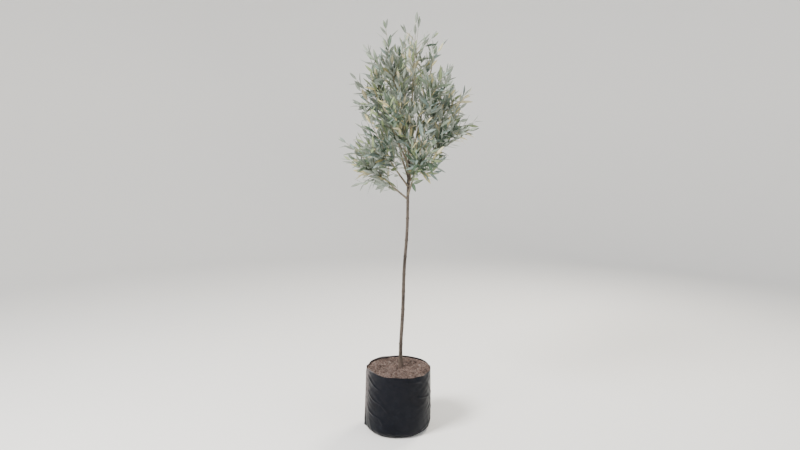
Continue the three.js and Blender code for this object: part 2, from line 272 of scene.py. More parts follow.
def grow_line(start, heading, length, steps, lift, sway=0.0, phase=0.0):
    """Stations every length / steps. After each, the heading gains lift x step / 100 mm upwards
    and sway x cos(7 share + phase) x step / 100 mm sideways, and is made unit length again."""
    point, along = np.array(start, float), unit(np.array(heading, float))
    across = np.array([-along[1], along[0], 0.0])
    step = length / steps
    line = {"point": [], "along": [], "side": []}
    side = first_side(along)
    for index in range(steps + 1):
        side = carried_side(along, side)
        line["point"].append(point)
        line["along"].append(along)
        line["side"].append(side)
        share = index / steps
        turn = UP * mix(*lift, share) + across * sway * math.cos(SWAY_TURN * share + phase)
        along = unit(along + turn * step / LIFT_LENGTH)
        point = point + along * step
    line = {key: np.array(rows) for key, rows in line.items()}
    line["reached"] = np.linspace(0, length, steps + 1)
    return line


trial = grow_line((0, 0, 0), (1, 0, 0), 300 * MM, 6, (0.3, 0.3))
print("a shoot that leaves level ends", round(float(trial["point"][-1, 2]), 3), "metres up")

# %% Read a line anywhere, and carry rings along it
def stations(line, reached):
    """Point, along and side at any distances along a line, between its two nearest stations."""
    reached = np.atleast_1d(np.asarray(reached, float))
    marks = line["reached"]
    low = np.clip(np.searchsorted(marks, reached, side="right") - 1, 0, len(marks) - 2)
    share = np.clip((reached - marks[low]) / (marks[low + 1] - marks[low]), 0, 1)[:, None]
    point = mix(line["point"][low], line["point"][low + 1], share)
    along = unit(mix(line["along"][low], line["along"][low + 1], share))
    return point, along, carried_side(along, line["side"][low])


def lengthened(line, extra):
    """A line with one more station, straight on from its end."""
    added = {
        "point": line["point"][-1] + extra * line["along"][-1],
        "along": line["along"][-1],
        "side": line["side"][-1],
        "reached": line["reached"][-1] + extra,
    }
    return {key: np.concatenate([rows, [added[key]]]) for key, rows in line.items()}


def ring_bearings(columns):
    """The bearings of the points of a ring, in even parts of a full turn."""
    return np.arange(columns) * TAU / columns


def tube(line, reached, radius, columns):
    """A grid of rings: point + radius x (side x cos bearing + side x along x sin bearing). The
    radius is (rows,) or (rows, columns)."""
    point, along, side = stations(line, reached)
    other = np.cross(side, along)
    bearing = ring_bearings(columns)
    radius = np.broadcast_to(np.reshape(radius, (len(reached), -1)), (len(reached), columns))
    ring = side[:, None] * np.cos(bearing)[:, None] + other[:, None] * np.sin(bearing)[:, None]
    return point[:, None] + ring * radius[..., None]


trial_rings = tube(trial, trial["reached"], np.full(7, 2 * MM), 8)
print("its tube is a grid of", trial_rings.shape[0], "rings of", trial_rings.shape[1], "points")

# %% [markdown]
# ## Trunk line and boughs
#
# The trunk stands upright in the mix, leans to one side as it rises, and ends at its fork.
# Boughs leave it in a rising spiral, each turned from the last by the golden angle, which is
# how a plant keeps its limbs out of one another's shade. The topmost carries on as a leader.
# The solids' own sizes are repeated here, because the bark has to fit where they stand.

# %% Follow the trunk from the mix to its fork
MIX_LEVEL = 274 * MM
JOINT_GAP = 0.3 * MM
FOOT = np.array([14, 4]) * MM
FORK_HEIGHT = 1285 * MM
TRUNK_LEAN = 40 * MM
TRUNK_SWAY = 7 * MM
TRUNK_WEAVE = 5
TRUNK_RADIUS = (8.6 * MM, 5.6 * MM)
TRUNK_STEPS = 20
FLARE_EXTRA = 5.5 * MM
FLARE_HEIGHT = 26 * MM


def trunk_points(share):
    """Foot plus lean x (t - sin(2 pi t) / 2 pi) plus a sway of sin(2 pi t) squared."""
    lean = TRUNK_LEAN * (share - np.sin(TAU * share) / TAU)
    sway = TRUNK_SWAY * np.sin(TAU * share) ** 2
    x = FOOT[0] + lean + sway * np.sin(TRUNK_WEAVE * share)
    return np.stack([x, FOOT[1] + sway, mix(MIX_LEVEL + JOINT_GAP, FORK_HEIGHT, share)], -1)


def trunk_line(steps):
    """The trunk's stations, upright at both ends, marked by their height."""
    point = trunk_points(np.linspace(0, 1, steps + 1))
    along = np.tile(UP, (steps + 1, 1))
    along[1:-1] = unit(point[2:] - point[:-2])
    side = carried_side(along, np.tile(LEVEL_SIDE, (steps + 1, 1)))
    return {"point": point, "along": along, "side": side, "reached": point[:, 2]}


def trunk_radius(share):
    """A straight taper, plus a root flare that dies away by e in its height."""
    above = share * (FORK_HEIGHT - MIX_LEVEL)
    return mix(*TRUNK_RADIUS, share) + FLARE_EXTRA * np.exp(-above / FLARE_HEIGHT)


trunk = trunk_line(TRUNK_STEPS)
print("the trunk forks at", trunk["point"][-1].round(3), "with radius", round(trunk_radius(1), 4))

# %% Wind the boughs up the top of the trunk
BOUGH_COUNT = 13
BOUGH_HEIGHT = (1045 * MM, 1250 * MM)
BOUGH_LENGTH = (345 * MM, 500 * MM)
LENGTH_VARIES = 0.07
BOUGH_RISE = (36, 71)
RISE_VARIES = 5
LEADER_RISE = 87
FIRST_BEARING = 160
GOLDEN_ANGLE = 137.508
BEARING_VARIES = 12
BOUGH_RADIUS = (4.4 * MM, 1.5 * MM)
BOUGH_SHARE = 0.22
BOUGH_STEPS = 20
NEAR_LIFT = 0.17
FAR_LIFT = (-0.13, 0.1)
SAGGING_SHARE = 0.35
BOUGH_SWAY = 0.06
SWAY_PHASES = 6


def trunk_point_at(height):
    """The trunk's point at a height, between the two stations next to it."""
    columns = [np.interp(height, trunk["reached"], trunk["point"][:, axis]) for axis in range(3)]
    return np.array(columns)


def bough_line(index):
    """One bough's stations: height, bearing, rise and length follow from its place in the
    spiral, and all but the height also from its own draws. Low boughs sag towards their tips."""
    share = index / (BOUGH_COUNT - 1)
    leader = index == BOUGH_COUNT - 1
    wander = BEARING_VARIES * spread(index, DRAW["bough_bearing"])
    bearing = math.radians(FIRST_BEARING + GOLDEN_ANGLE * index + wander)
    slope = mix(*BOUGH_RISE, share) + RISE_VARIES * spread(index, DRAW["bough_rise"])
    rise = math.radians(LEADER_RISE if leader else slope)
    start = trunk_point_at(mix(*BOUGH_HEIGHT, index / (BOUGH_COUNT - 2)))
    if leader:
        start = trunk["point"][-1] + UP * JOINT_GAP
    level = math.cos(rise)
    heading = (math.cos(bearing) * level, math.sin(bearing) * level, math.sin(rise))
    length = mix(*BOUGH_LENGTH, share) * (1 + LENGTH_VARIES * spread(index, DRAW["bough_length"]))
    far_lift = mix(*FAR_LIFT, float(ease(share, 0, SAGGING_SHARE)))
    lift = (0, 0) if leader else (NEAR_LIFT, far_lift)
    phase = SWAY_PHASES * chance(index, DRAW["bough_sway"])
    return grow_line(start, heading, length, BOUGH_STEPS, lift, BOUGH_SWAY, phase)


boughs = [bough_line(index) for index in range(BOUGH_COUNT)]
print("the first three boughs end at", [line["point"][-1].round(3).tolist() for line in boughs[:3]])

# %% [markdown]
# ## Keeping to one's own space
#
# Branches of one tree seldom cross, because each grows towards free light. Here a twig grows
# only where its own bough is the nearest one, so the masses of foliage share the crown
# between them. Twigs could be grown freely and the crossing ones cut, but a test of distance
# while they grow is simpler. It measures points against every stretch of every bough at once.

# %% Measure distances to limbs
SPACE_MARGIN = 1.5 * MM
LIMB_MARGIN = 3 * MM


def distance_to_line(points, line):
    """The least distance from each point to the straight stretches between stations."""
    start, end = line["point"][:-1], line["point"][1:]
    stretch = end - start
    from_start = points[:, None] - start
    share = np.sum(from_start * stretch, -1) / np.sum(stretch * stretch, -1)
    nearest = start + np.clip(share, 0, 1)[..., None] * stretch
    return np.linalg.norm(points[:, None] - nearest, axis=-1).min(1)


def in_own_space(points, index, reach):
    """Whether each point is nearer its own bough, by twice a reach and margin, than any other
    bough, and clear of the trunk."""
    distance = np.array([distance_to_line(points, line) for line in boughs])
    own = distance[index] + 2 * (reach + SPACE_MARGIN)
    others = np.delete(distance, index, 0).min(0)
    off_trunk = distance_to_line(points, trunk) > TRUNK_RADIUS[0] + reach + LIMB_MARGIN
    return (others >= own) & off_trunk


alone = [in_own_space(line["point"][-1:], index, 0)[0] for index, line in enumerate(boughs)]
print(sum(alone), "of", BOUGH_COUNT, "boughs end in their own space")

# %% [markdown]
# ## Shoots and finer twigs
#
# Olive shoots leave their stem in crossed pairs, each pair turned a quarter from the last.
# The solids stop at one order of side shoots. Here the same shoots are grown with the same
# draws, and each then carries finer twigs by the same rule, shorter towards the tip. Copies
# of one twig would be quicker, but the eye soon finds them. A twig stops where it would leave
# its bough's own space. The solids' leaves are larger than life, so each line here goes on a
# little past theirs, to reach as far with leaves of the real size.

# %% Grow the solids' side shoots again
SHOOT_FIRST = 14 * MM
SHOOT_SPACING = 50 * MM
SHOOT_LAST = 150 * MM
SHOOT_TURN = 0.5
SHOOT_ANGLE, SHOOT_ANGLE_VARIES = 44, 9
SHOOT_SHARE = (0.45, 0.8)
SHOOT_EXTRA = 25 * MM
SHOOT_LENGTH = (75 * MM, 190 * MM)
SHOOT_LIFT = (0.34, 0.2)
SHOOT_STEPS = 3
SHOOT_RADIUS = 1.9 * MM


def crossed_turn(pair, half):
    """The turn round a stem: a quarter for each pair, and a half for the second of a pair."""
    return math.pi / 2 * pair + math.pi * half


def leaning(along, side, angle, turn):
    """A direction at an angle off along, turned round it from side towards side x along."""
    other = np.cross(side, along)
    out = side * np.cos(turn)[..., None] + other * np.sin(turn)[..., None]
    return along * np.cos(angle)[..., None] + out * np.sin(angle)[..., None]


def leaving(line, reached, degrees, turn):
    """The start and heading of a limb that leaves a line at an angle in degrees and a turn."""
    point, along, side = (rows[0] for rows in stations(line, reached))
    return point, leaning(along, side, np.array(math.radians(degrees)), np.array(turn))


def shoot_lines(index):
    """The side shoots of one mass that have room to grow, with the numbers of their places: pairs
    every 50 mm, each a share of the length that is left of the stem."""
    line = boughs[index]
    end = line["reached"][-1]
    first = end * BOUGH_SHARE + SHOOT_FIRST
    shoots = []
    for place in range(2 * math.ceil((end - SHOOT_LAST - first) / SHOOT_SPACING)):
        pair, half = divmod(place, 2)
        reached = first + SHOOT_SPACING * pair
        turn = crossed_turn(pair, half) + SHOOT_TURN * spread(index, place, DRAW["shoot_turn"])
        degrees = SHOOT_ANGLE + SHOOT_ANGLE_VARIES * spread(index, place, DRAW["shoot_angle"])
        point, heading = leaving(line, reached, degrees, turn)
        share = mix(*SHOOT_SHARE, chance(index, place, DRAW["shoot_length"]))
        shortest, longest = SHOOT_LENGTH
        length = min(max((end - reached) * share + SHOOT_EXTRA, shortest), longest)
        shoot = grow_line(point, heading, length, SHOOT_STEPS, SHOOT_LIFT)
        if in_own_space(shoot["point"][1:], index, SHOOT_RADIUS).all():
            shoots.append((place, shoot))
    return shoots


mass_shoots = [shoot_lines(index) for index in range(BOUGH_COUNT)]
print("side shoots:", sum(len(shoots) for shoots in mass_shoots))

# %% Grow finer twigs on a stem or a shoot
TWIG_SPACING = 42 * MM
TWIG_LAST = 70 * MM
TWIG_MISSING = 0.15
TWIG_JITTER = 10 * MM
TWIG_TURN = 0.7
TWIG_ANGLE, TWIG_ANGLE_VARIES = 42, 12
TWIG_SHARE = (0.4, 0.8)
TWIG_EXTRA = 30 * MM
TWIG_LIFT = (0.8, 0.4)
TWIG_STEPS = 5
LEAST_STEPS = 2


def twig_lines(line, first, last, index, place, longest):
    """Finer twigs along a line: pairs every 42 mm with some missing, each a share of the length
    that is left of the line, and cut short where it would leave its bough's own space."""
    end = line["reached"][-1]
    twigs = []
    for number in range(2 * max(0, math.ceil((end - last - first) / TWIG_SPACING))):
        twig_key = (index, place, number)
        if chance(*twig_key, DRAW["twig_missing"]) < TWIG_MISSING:
            continue
        pair, half = divmod(number, 2)
        reached = first + TWIG_SPACING * pair + TWIG_JITTER * spread(*twig_key, DRAW["twig_place"])
        turn = crossed_turn(pair + 1, half) + TWIG_TURN * spread(*twig_key, DRAW["twig_turn"])
        degrees = TWIG_ANGLE + TWIG_ANGLE_VARIES * spread(*twig_key, DRAW["twig_angle"])
        point, heading = leaving(line, reached, degrees, turn)
        share = mix(*TWIG_SHARE, chance(*twig_key, DRAW["twig_length"]))
        length = min((end - reached) * share + TWIG_EXTRA, longest)
        twig = grow_line(point, heading, length, TWIG_STEPS, TWIG_LIFT)
        inside = np.cumprod(in_own_space(twig["point"][1:], index, 0)).sum()
        if inside >= LEAST_STEPS:
            twigs.append({key: rows[: inside + 1] for key, rows in twig.items()})
    return twigs


trial_twigs = twig_lines(boughs[-1], 0, SHOOT_LAST, BOUGH_COUNT - 1, 0, 100 * MM)
print("finer twigs that fit on the leader:", len(trial_twigs))

# %% Gather the lines of every mass
EARLY_SHARE = 0.06
STEM_PLACE = 90
STEM_TWIG_LONGEST = 120 * MM
SHOOT_TWIG_FIRST = 20 * MM
SHOOT_TWIG_LONGEST = 95 * MM
TIP_EXTRA = 24 * MM


def mass_lines(index):
    """One mass: its stem and shoots, made longer by a tip each, and the twigs on both."""
    line = boughs[index]
    first = line["reached"][-1] * (BOUGH_SHARE - EARLY_SHARE)
    twigs = twig_lines(line, first, SHOOT_LAST, index, STEM_PLACE, STEM_TWIG_LONGEST)
    for place, shoot in mass_shoots[index]:
        twigs += twig_lines(shoot, SHOOT_TWIG_FIRST, TWIG_LAST, index, place, SHOOT_TWIG_LONGEST)
    shoots = [lengthened(shoot, TIP_EXTRA) for _, shoot in mass_shoots[index]]
    return {"stem": [lengthened(line, TIP_EXTRA)], "shoots": shoots, "twigs": twigs}


growth = [mass_lines(index) for index in range(BOUGH_COUNT)]
print("finer twigs:", sum(len(grown["twigs"]) for grown in growth))

# %% [markdown]
# ## Shared shader groups
#
# Two effects turn up in several finishes. Mottle breaks an even colour into soft patches of
# three tones with finer grain over them. Dust settles where a surface faces up and where
# the air is still. Painted images could hold both, but noise that is worked out in space has
# no seams and stays sharp close up. Each is a node group, built once and used with its own
# values.

# %% Add noise, arithmetic and blends to a node tree
COLOUR_SOCKETS = {"share": 0, "first": 6, "second": 7, "result": 2}


def feed(tree, socket, value):
    """Sets a socket to a number or an (r, g, b), or links another socket to it."""
    if isinstance(value, (int, float)):
        socket.default_value = value
    elif isinstance(value, tuple):
        socket.default_value = (*value, 1)
    else:
        tree.links.new(value, socket)


def noise(tree, place, scale, detail=3.0, roughness=0.55):
    """A noise texture read at a place: returns its value socket."""
    node = tree.nodes.new("ShaderNodeTexNoise")
    for label, value in (("Scale", scale), ("Detail", detail), ("Roughness", roughness)):
        feed(tree, node.inputs[label], value)
    tree.links.new(place, node.inputs["Vector"])
    return node.outputs["Fac"]


def math_node(tree, operation, *values):
    """One arithmetic node: each value is a number or a socket."""
    node = tree.nodes.new("ShaderNodeMath")
    node.operation = operation
    for socket, value in zip(node.inputs, values):
        feed(tree, socket, value)
    return node.outputs[0]


def blend_colours(tree, share, first, second):
    """First and second mixed by a share socket: each is an (r, g, b) or a socket. A Mix node
    lists its sockets for all types of data, so those for colours go by their numbers."""
    node = tree.nodes.new("ShaderNodeMix")
    node.data_type = "RGBA"
    for label, value in (("share", share), ("first", first), ("second", second)):
        feed(tree, node.inputs[COLOUR_SOCKETS[label]], value)
    return node.outputs[COLOUR_SOCKETS["result"]]


def span(tree, value, low, high):
    """A value brought to 0 at low and 1 at high, held there outside."""
    node = tree.nodes.new("ShaderNodeMapRange")
    node.inputs["From Min"].default_value = low
    node.inputs["From Max"].default_value = high
    tree.links.new(value, node.inputs["Value"])
    return node.outputs["Result"]


print("colours go into a Mix node at sockets", COLOUR_SOCKETS["first"], COLOUR_SOCKETS["second"])

# %% Build the mottle group
FINE_TO_WIDE = 5.0
DARK_PATCHES = (0.36, 0.52)
LIGHT_GRAINS = (0.54, 0.72)


def new_group(name, inputs, outputs):
    """An empty shader group with named sockets: {name: (type, default)} in and {name: type} out."""
    group = bpy.data.node_groups.new(name, "ShaderNodeTree")
    for label, (kind, value) in inputs.items():
        socket = group.interface.new_socket(label, in_out="INPUT", socket_type="NodeSocket" + kind)
        socket.default_value = value
    for label, kind in outputs.items():
        group.interface.new_socket(label, in_out="OUTPUT", socket_type="NodeSocket" + kind)
    return group, group.nodes.new("NodeGroupInput"), group.nodes.new("NodeGroupOutput")


def build_mottle():
    """Dark and light tones laid over the middle one by wide and by fine noise."""
    inputs = {
        "Vector": ("Vector", (0, 0, 0)),
        "Scale": ("Float", 40.0),
        "Dark": ("Color", (0.1, 0.1, 0.1, 1)),
        "Middle": ("Color", (0.2, 0.2, 0.2, 1)),
        "Light": ("Color", (0.4, 0.4, 0.4, 1)),
    }
    group, given, made = new_group("mottle", inputs, {"Color": "Color", "Grain": "Float"})
    place, scale, dark, middle, light = (given.outputs[label] for label in inputs)
    wide = noise(group, place, scale, detail=4.0)
    fine_scale = math_node(group, "MULTIPLY", scale, FINE_TO_WIDE)
    fine = noise(group, place, fine_scale, roughness=0.7)
    darkened = blend_colours(group, span(group, wide, *DARK_PATCHES), dark, middle)
    lit = blend_colours(group, span(group, fine, *LIGHT_GRAINS), darkened, light)
    group.links.new(lit, made.inputs["Color"])
    group.links.new(fine, made.inputs["Grain"])
    return group


MOTTLE = build_mottle()
print("group", MOTTLE.name, "has", len(MOTTLE.nodes), "nodes")

# %% Build the dust group
FACING_UP = (-0.1, 0.75)
DUST_PATCHES = (0.38, 0.68)
ON_SIDES = 0.25


def build_dust():
    """A dust colour laid over another: amount x patches of noise x (a quarter everywhere, and
    the rest where the surface faces up)."""
    inputs = {
        "Vector": ("Vector", (0, 0, 0)),
        "Color": ("Color", (0.1, 0.1, 0.1, 1)),
        "Dust": ("Color", (0.35, 0.28, 0.22, 1)),
        "Amount": ("Float", 0.5),
    }
    group, given, made = new_group("dust", inputs, {"Color": "Color", "Mask": "Float"})
    place, colour, dust, amount = (given.outputs[label] for label in inputs)
    facing = group.nodes.new("ShaderNodeSeparateXYZ")
    group.links.new(group.nodes.new("ShaderNodeNewGeometry").outputs["Normal"], facing.inputs[0])
    upward = span(group, facing.outputs["Z"], *FACING_UP)
    patches = span(group, noise(group, place, 38.0, detail=6.0, roughness=0.65), *DUST_PATCHES)
    settled = math_node(group, "MULTIPLY_ADD", upward, 1 - ON_SIDES, ON_SIDES)
    broken = math_node(group, "MULTIPLY", settled, patches)
    mask = math_node(group, "MULTIPLY", broken, amount)
    group.links.new(blend_colours(group, mask, colour, dust), made.inputs["Color"])
    group.links.new(mask, made.inputs["Mask"])
    return group


DUST = build_dust()
print("group", DUST.name, "has", len(DUST.nodes), "nodes")

# %% [markdown]
# ## Bark
#
# A young olive's bark is smooth and grey-brown, with shallow fissures that run with the
# stem, pale breathing pores, and a knob wherever a pair of shoots was rubbed off. A scanned
# bark image would stretch and repeat along so thin a stem. Relief you could feel with a
# finger is therefore in the mesh, and only colour and grain are left to the shader. Earth
# splashed up by watering darkens the foot of the trunk.

# %% Start a material, place a group in it, and add fine relief
def new_material(name):
    """A node material: returns it, its tree, its Principled shader and its object coordinates."""
    material = bpy.data.materials.new(name)
    material.use_nodes = True
    tree = material.node_tree
    coordinates = tree.nodes.new("ShaderNodeTexCoord")
    return material, tree, tree.nodes["Principled BSDF"], coordinates.outputs["Object"]


def use_group(tree, group, place, **values):
    """A shader group placed in a material with its own values, read at a place."""
    node = tree.nodes.new("ShaderNodeGroup")
    node.node_tree = group
    tree.links.new(place, node.inputs["Vector"])
    for label, value in values.items():
        feed(tree, node.inputs[label], value)
    return node


def mottled(tree, place, tones, scale):
    """The colour and grain of the mottle group, in a dark, a middle and a light tone."""
    dark, middle, light = tones
    node = use_group(tree, MOTTLE, place, Scale=scale, Dark=dark, Middle=middle, Light=light)
    return node.outputs["Color"], node.outputs["Grain"]


def bump(tree, shader, height, distance, strength=1.0):
    """Fine relief: a height socket, and the distance in metres that 1 of it stands for."""
    node = tree.nodes.new("ShaderNodeBump")
    node.inputs["Strength"].default_value = strength
    node.inputs["Distance"].default_value = distance
    tree.links.new(height, node.inputs["Height"])
    tree.links.new(node.outputs["Normal"], shader.inputs["Normal"])


print("shader groups to use:", [group.name for group in bpy.data.node_groups])

# %% Make the bark materials
GRAIN_STRETCH = 0.22
GRAIN_SCALE = 900.0
PORE_EDGE = (0.06, 0.16)
PORE_SHARE = 0.5
PORE_PALER = 1.15
BARK_DUST = (0.18, 0.147, 0.124)
SPLASH_NOISE = 1.6
SPLASH_EDGE = (0.2, 0.8)


def bark_material(name, tones, scale, pores):
    """Mottled bark in a dark, a middle and a light tone, dotted with pale pores and grained along
    the stem, where the pattern is stretched."""
    material, tree, shader, place = new_material(name)
    stretched = tree.nodes.new("ShaderNodeMapping")
    stretched.inputs["Scale"].default_value = (1, 1, GRAIN_STRETCH)
    tree.links.new(place, stretched.inputs["Vector"])
    along = stretched.outputs["Vector"]
    colour, _ = mottled(tree, along, tones, scale)
    dots = tree.nodes.new("ShaderNodeTexVoronoi")
    dots.inputs["Scale"].default_value = pores
    tree.links.new(place, dots.inputs["Vector"])
    pore = math_node(tree, "SUBTRACT", 1.0, span(tree, dots.outputs["Distance"], *PORE_EDGE))
    pale = tuple(PORE_PALER * value for value in tones[-1])
    dotted = blend_colours(tree, math_node(tree, "MULTIPLY", pore, PORE_SHARE), colour, pale)
    dusty = use_group(tree, DUST, place, Color=dotted, Dust=BARK_DUST, Amount=0.3)
    tree.links.new(dusty.outputs["Color"], shader.inputs["Base Color"])
    grain = noise(tree, along, GRAIN_SCALE, detail=5.0, roughness=0.7)
    tree.links.new(math_node(tree, "MULTIPLY_ADD", grain, 0.2, 0.72), shader.inputs["Roughness"])
    shader.inputs["Specular IOR Level"].default_value = 0.3
    raised = math_node(tree, "ADD", grain, math_node(tree, "MULTIPLY", pore, PORE_SHARE))
    bump(tree, shader, raised, distance=0.8 * MM)
    return material


def stain_foot(material, low, high, colour):
    """Earth splashed on a stem: full below the low height, none above the high, broken by noise."""
    tree = material.node_tree
    shader = tree.nodes["Principled BSDF"]
    place = tree.nodes["Texture Coordinate"].outputs["Object"]
    height = tree.nodes.new("ShaderNodeSeparateXYZ")
    tree.links.new(place, height.inputs[0])
    near = math_node(tree, "SUBTRACT", 1.0, span(tree, height.outputs["Z"], low, high))
    splashes = noise(tree, place, 90.0, detail=5.0, roughness=0.65)
    ragged = math_node(tree, "MULTIPLY_ADD", splashes, SPLASH_NOISE, -SPLASH_NOISE / 2)
    mask = span(tree, math_node(tree, "ADD", near, ragged), *SPLASH_EDGE)
    bare = shader.inputs["Base Color"].links[0].from_socket
    tree.links.new(blend_colours(tree, mask, bare, colour), shader.inputs["Base Color"])


# The trunk's tones are partly the bark's own grey-brown and partly painted shade: they are darker than
# the boughs', for a trunk that stands in shade.
TRUNK_TONES_PARTLY_SHADED = ((0.026, 0.02, 0.016), (0.064, 0.05, 0.04), (0.132, 0.109, 0.091))
BOUGH_TONES = ((0.067, 0.054, 0.039), (0.14, 0.116, 0.084), (0.235, 0.203, 0.153))
SPLASHED_EARTH = (0.085, 0.06, 0.047)
TRUNK_BARK = bark_material("trunk_bark", TRUNK_TONES_PARTLY_SHADED, scale=55.0, pores=260.0)
stain_foot(TRUNK_BARK, MIX_LEVEL + 6 * MM, MIX_LEVEL + 70 * MM, SPLASHED_EARTH)
BOUGH_BARK = bark_material("bough_bark", BOUGH_TONES, scale=90.0, pores=420.0)
print(TRUNK_BARK.name, "has", len(TRUNK_BARK.node_tree.nodes), "nodes")

# %% Raise knobs where shoots were rubbed off
KNOB_WIDTH = 0.5
KNOB_LENGTH = 3.2 * MM
KNOB_SHIFT = 0.25
KNOB_SIZES = (0.45, 1.0)
KNOB_TURN = 0.3


def off_bearing(bearing, middle):
    """The signed angle from a middle bearing, between -pi and pi."""
    return np.angle(np.exp(1j * (bearing - middle)))


def knobs(height, bearing, spacing, seed):
    """Paired knobs up a stem, each pair turned a quarter: size x exp(-(angle / width) squared
    - (distance along / length) squared)."""
    draw = np.random.default_rng(seed)
    total = np.zeros(np.broadcast(height, bearing).shape)
    for number in range(int(height.max() / spacing)):
        middle = (number + 0.5 + KNOB_SHIFT * draw.uniform(-1, 1)) * spacing
        size = draw.uniform(*KNOB_SIZES)
        for half in (0, math.pi):
            turned = bearing - number * math.pi / 2 - half
            off = off_bearing(turned, KNOB_TURN * draw.uniform(-1, 1))
            total += size * np.exp(-((off / KNOB_WIDTH) ** 2) - ((height - middle) / KNOB_LENGTH) ** 2)
    return total


trial_grid = np.meshgrid(np.linspace(0, 100, 50) * MM, ring_bearings(30), indexing="ij")
print("the tallest of a few knobs is", round(float(knobs(*trial_grid, 41 * MM, seed=13).max()), 2))

# %% Carry the bark's relief up the trunk
TRUNK_GRID = (520, 56)
TRUNK_SUNK = 0.006
LINE_STEPS = 200
BARK_INSET = 0.5 * MM
HOLLOW_SHARE = 0.045
HOLLOW_WAVES = [(1, 3), (8.0, 30.0)]
FISSURE_HEIGHT = 0.65 * MM
FISSURE_WAVES = [(5, 15), (15.0, 90.0)]
KNOB_HEIGHT = 1.5 * MM
KNOB_SPACING = 41 * MM
ROOT_HEIGHT = 2.8 * MM
ROOT_FADE = 30 * MM
SLIMMED = 3 * MM
SLIMMED_FADE = 22 * MM


def limb_skin(name, rings, material):
    """A closed skin over rings, with its poles in the middles of the first and the last."""
    poles = (rings[0].mean(0), rings[-1].mean(0))
    return wrapped_surface(name, rings, poles, [material], inward=True)


def trunk_piece():
    """The trunk's taper with hollows, fissures and knobs, and three roots that fade out upwards:
    the radius is a function of height and bearing."""
    rows, columns = TRUNK_GRID
    share = np.linspace(-TRUNK_SUNK, 1, rows)[:, None]
    bearing = ring_bearings(columns)[None, :]
    height = share * (FORK_HEIGHT - MIX_LEVEL)
    grid = np.broadcast_arrays(bearing, height)
    hollows = ripple(grid, HOLLOW_WAVES, seed=11)
    fissures = 1 - np.abs(ripple(grid, FISSURE_WAVES, seed=12))
    roots = np.maximum(0, np.cos(3 * bearing + 1 + 2 * np.sin(bearing))) * np.exp(-height / ROOT_FADE)
    radius = trunk_radius(np.maximum(share, 0)) * (1 + HOLLOW_SHARE * hollows) - BARK_INSET
    knobbed = KNOB_HEIGHT * knobs(height, bearing, KNOB_SPACING, seed=13)
    radius = radius + FISSURE_HEIGHT * fissures + knobbed
    radius = radius + ROOT_HEIGHT * roots - SLIMMED * np.exp(-height / SLIMMED_FADE)
    line = trunk_line(LINE_STEPS)
    rings = tube(line, mix(*line["reached"][[0, -1]], share.ravel()), radius, columns)
    rings[..., 2] += np.minimum(height + JOINT_GAP, 0)
    piece = limb_skin("trunk_bark", rings, TRUNK_BARK)
    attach(piece, "root")
    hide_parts("trunk")
    return piece


trunk_skin = trunk_piece()
print(trunk_skin.name, triangles(trunk_skin), "triangles")

# %% Carry finer bark along each bough
BOUGH_GRID = (90, 24)
BOUGH_HOLLOWS = 0.04
BOUGH_HOLLOW_WAVES = [(1, 3), (15.0, 60.0)]
BOUGH_FISSURES = 0.14 * MM
BOUGH_FISSURE_WAVES = [(4, 10), (30.0, 140.0)]
COLLAR_HEIGHT = 1.3 * MM
COLLAR_LENGTH = 8 * MM
COLLAR_FADE = 7 * MM
BOUGH_KNOBS = 0.6 * MM
BOUGH_KNOB_SPACING = 24 * MM


def bough_piece(index):
    """One bough to where its foliage begins: a taper with hollows, fissures and knobs, and a
    swollen collar at the trunk."""
    line = boughs[index]
    end = line["reached"][-1]
    rows, columns = BOUGH_GRID
    reached = np.linspace(0, 1, rows)[:, None] * (BOUGH_SHARE * end)
    bearing = ring_bearings(columns)[None, :]
    grid = np.broadcast_arrays(bearing, reached)
    relief = BOUGH_HOLLOWS * ripple(grid, BOUGH_HOLLOW_WAVES, seed=30 + index)
    fissures = BOUGH_FISSURES * (1 - np.abs(ripple(grid, BOUGH_FISSURE_WAVES, seed=50 + index)))
    collar = COLLAR_HEIGHT * np.exp(-np.maximum(reached - COLLAR_LENGTH, 0) / COLLAR_FADE)
    radius = mix(*BOUGH_RADIUS, reached / end) * (1 + relief) + fissures + collar
    radius = radius + BOUGH_KNOBS * knobs(reached, bearing, BOUGH_KNOB_SPACING, seed=70 + index)
    rings = tube(line, reached.ravel(), radius, columns)
    leader = index == BOUGH_COUNT - 1
    node = "leader" if leader else f"bough_{index + 1}"
    piece = limb_skin(node + "_bark", rings, BOUGH_BARK)
    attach(piece, "root")
    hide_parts(node)
    return piece


bough_skins = [bough_piece(index) for index in range(BOUGH_COUNT)]
print(len(bough_skins), "boughs of", triangles(bough_skins[0]), "triangles each")

# %% [markdown]
# ## Twigs
#
# Olive twigs are thin, straight and olive-green turning grey. A curve with a bevel could draw
# each one, but there are hundreds of them, so a twig gets few faces: it is a tapering tube
# of five sides that ends in a point, and all of them are joined into one mesh.

# %% Join the stems, shoots and twigs of the masses
TWIG_COLUMNS = 5
STEM_ROWS = 15
TWIG_ROWS = 8
STEM_LAP = 1 * MM
STEM_SWELL = 1.02
STEM_TIP = 0.8 * MM
SHOOT_TAPER = (1.55 * MM, 0.7 * MM)
TWIG_TAPER = (1.0 * MM, 0.45 * MM)
TWIG_TONES = ((0.13, 0.117, 0.066), (0.225, 0.207, 0.126), (0.33, 0.31, 0.215))
MASSES = [f"foliage_{index + 1}" for index in range(BOUGH_COUNT)]
TWIG_BARK = bark_material("twig_bark", TWIG_TONES, scale=120.0, pores=700.0)


def twig_points(line, start, taper, rows):
    """The points of one tapering tube and its two poles, from a start to the end of its line."""
    reached = np.linspace(start, line["reached"][-1], rows)
    rings = tube(line, reached, np.linspace(*taper, rows), TWIG_COLUMNS)
    ends = stations(line, reached[[0, -1]])[0]
    return np.concatenate([rings.reshape(-1, 3), ends])


def copied_faces(faces, copies, size):
    """The faces of joined copies: one copy's point numbers, moved on by its size for each next."""
    offset = (np.arange(copies) * size)[:, None, None]
    return [(part[None] + offset).reshape(-1, part.shape[1]) for part in faces]


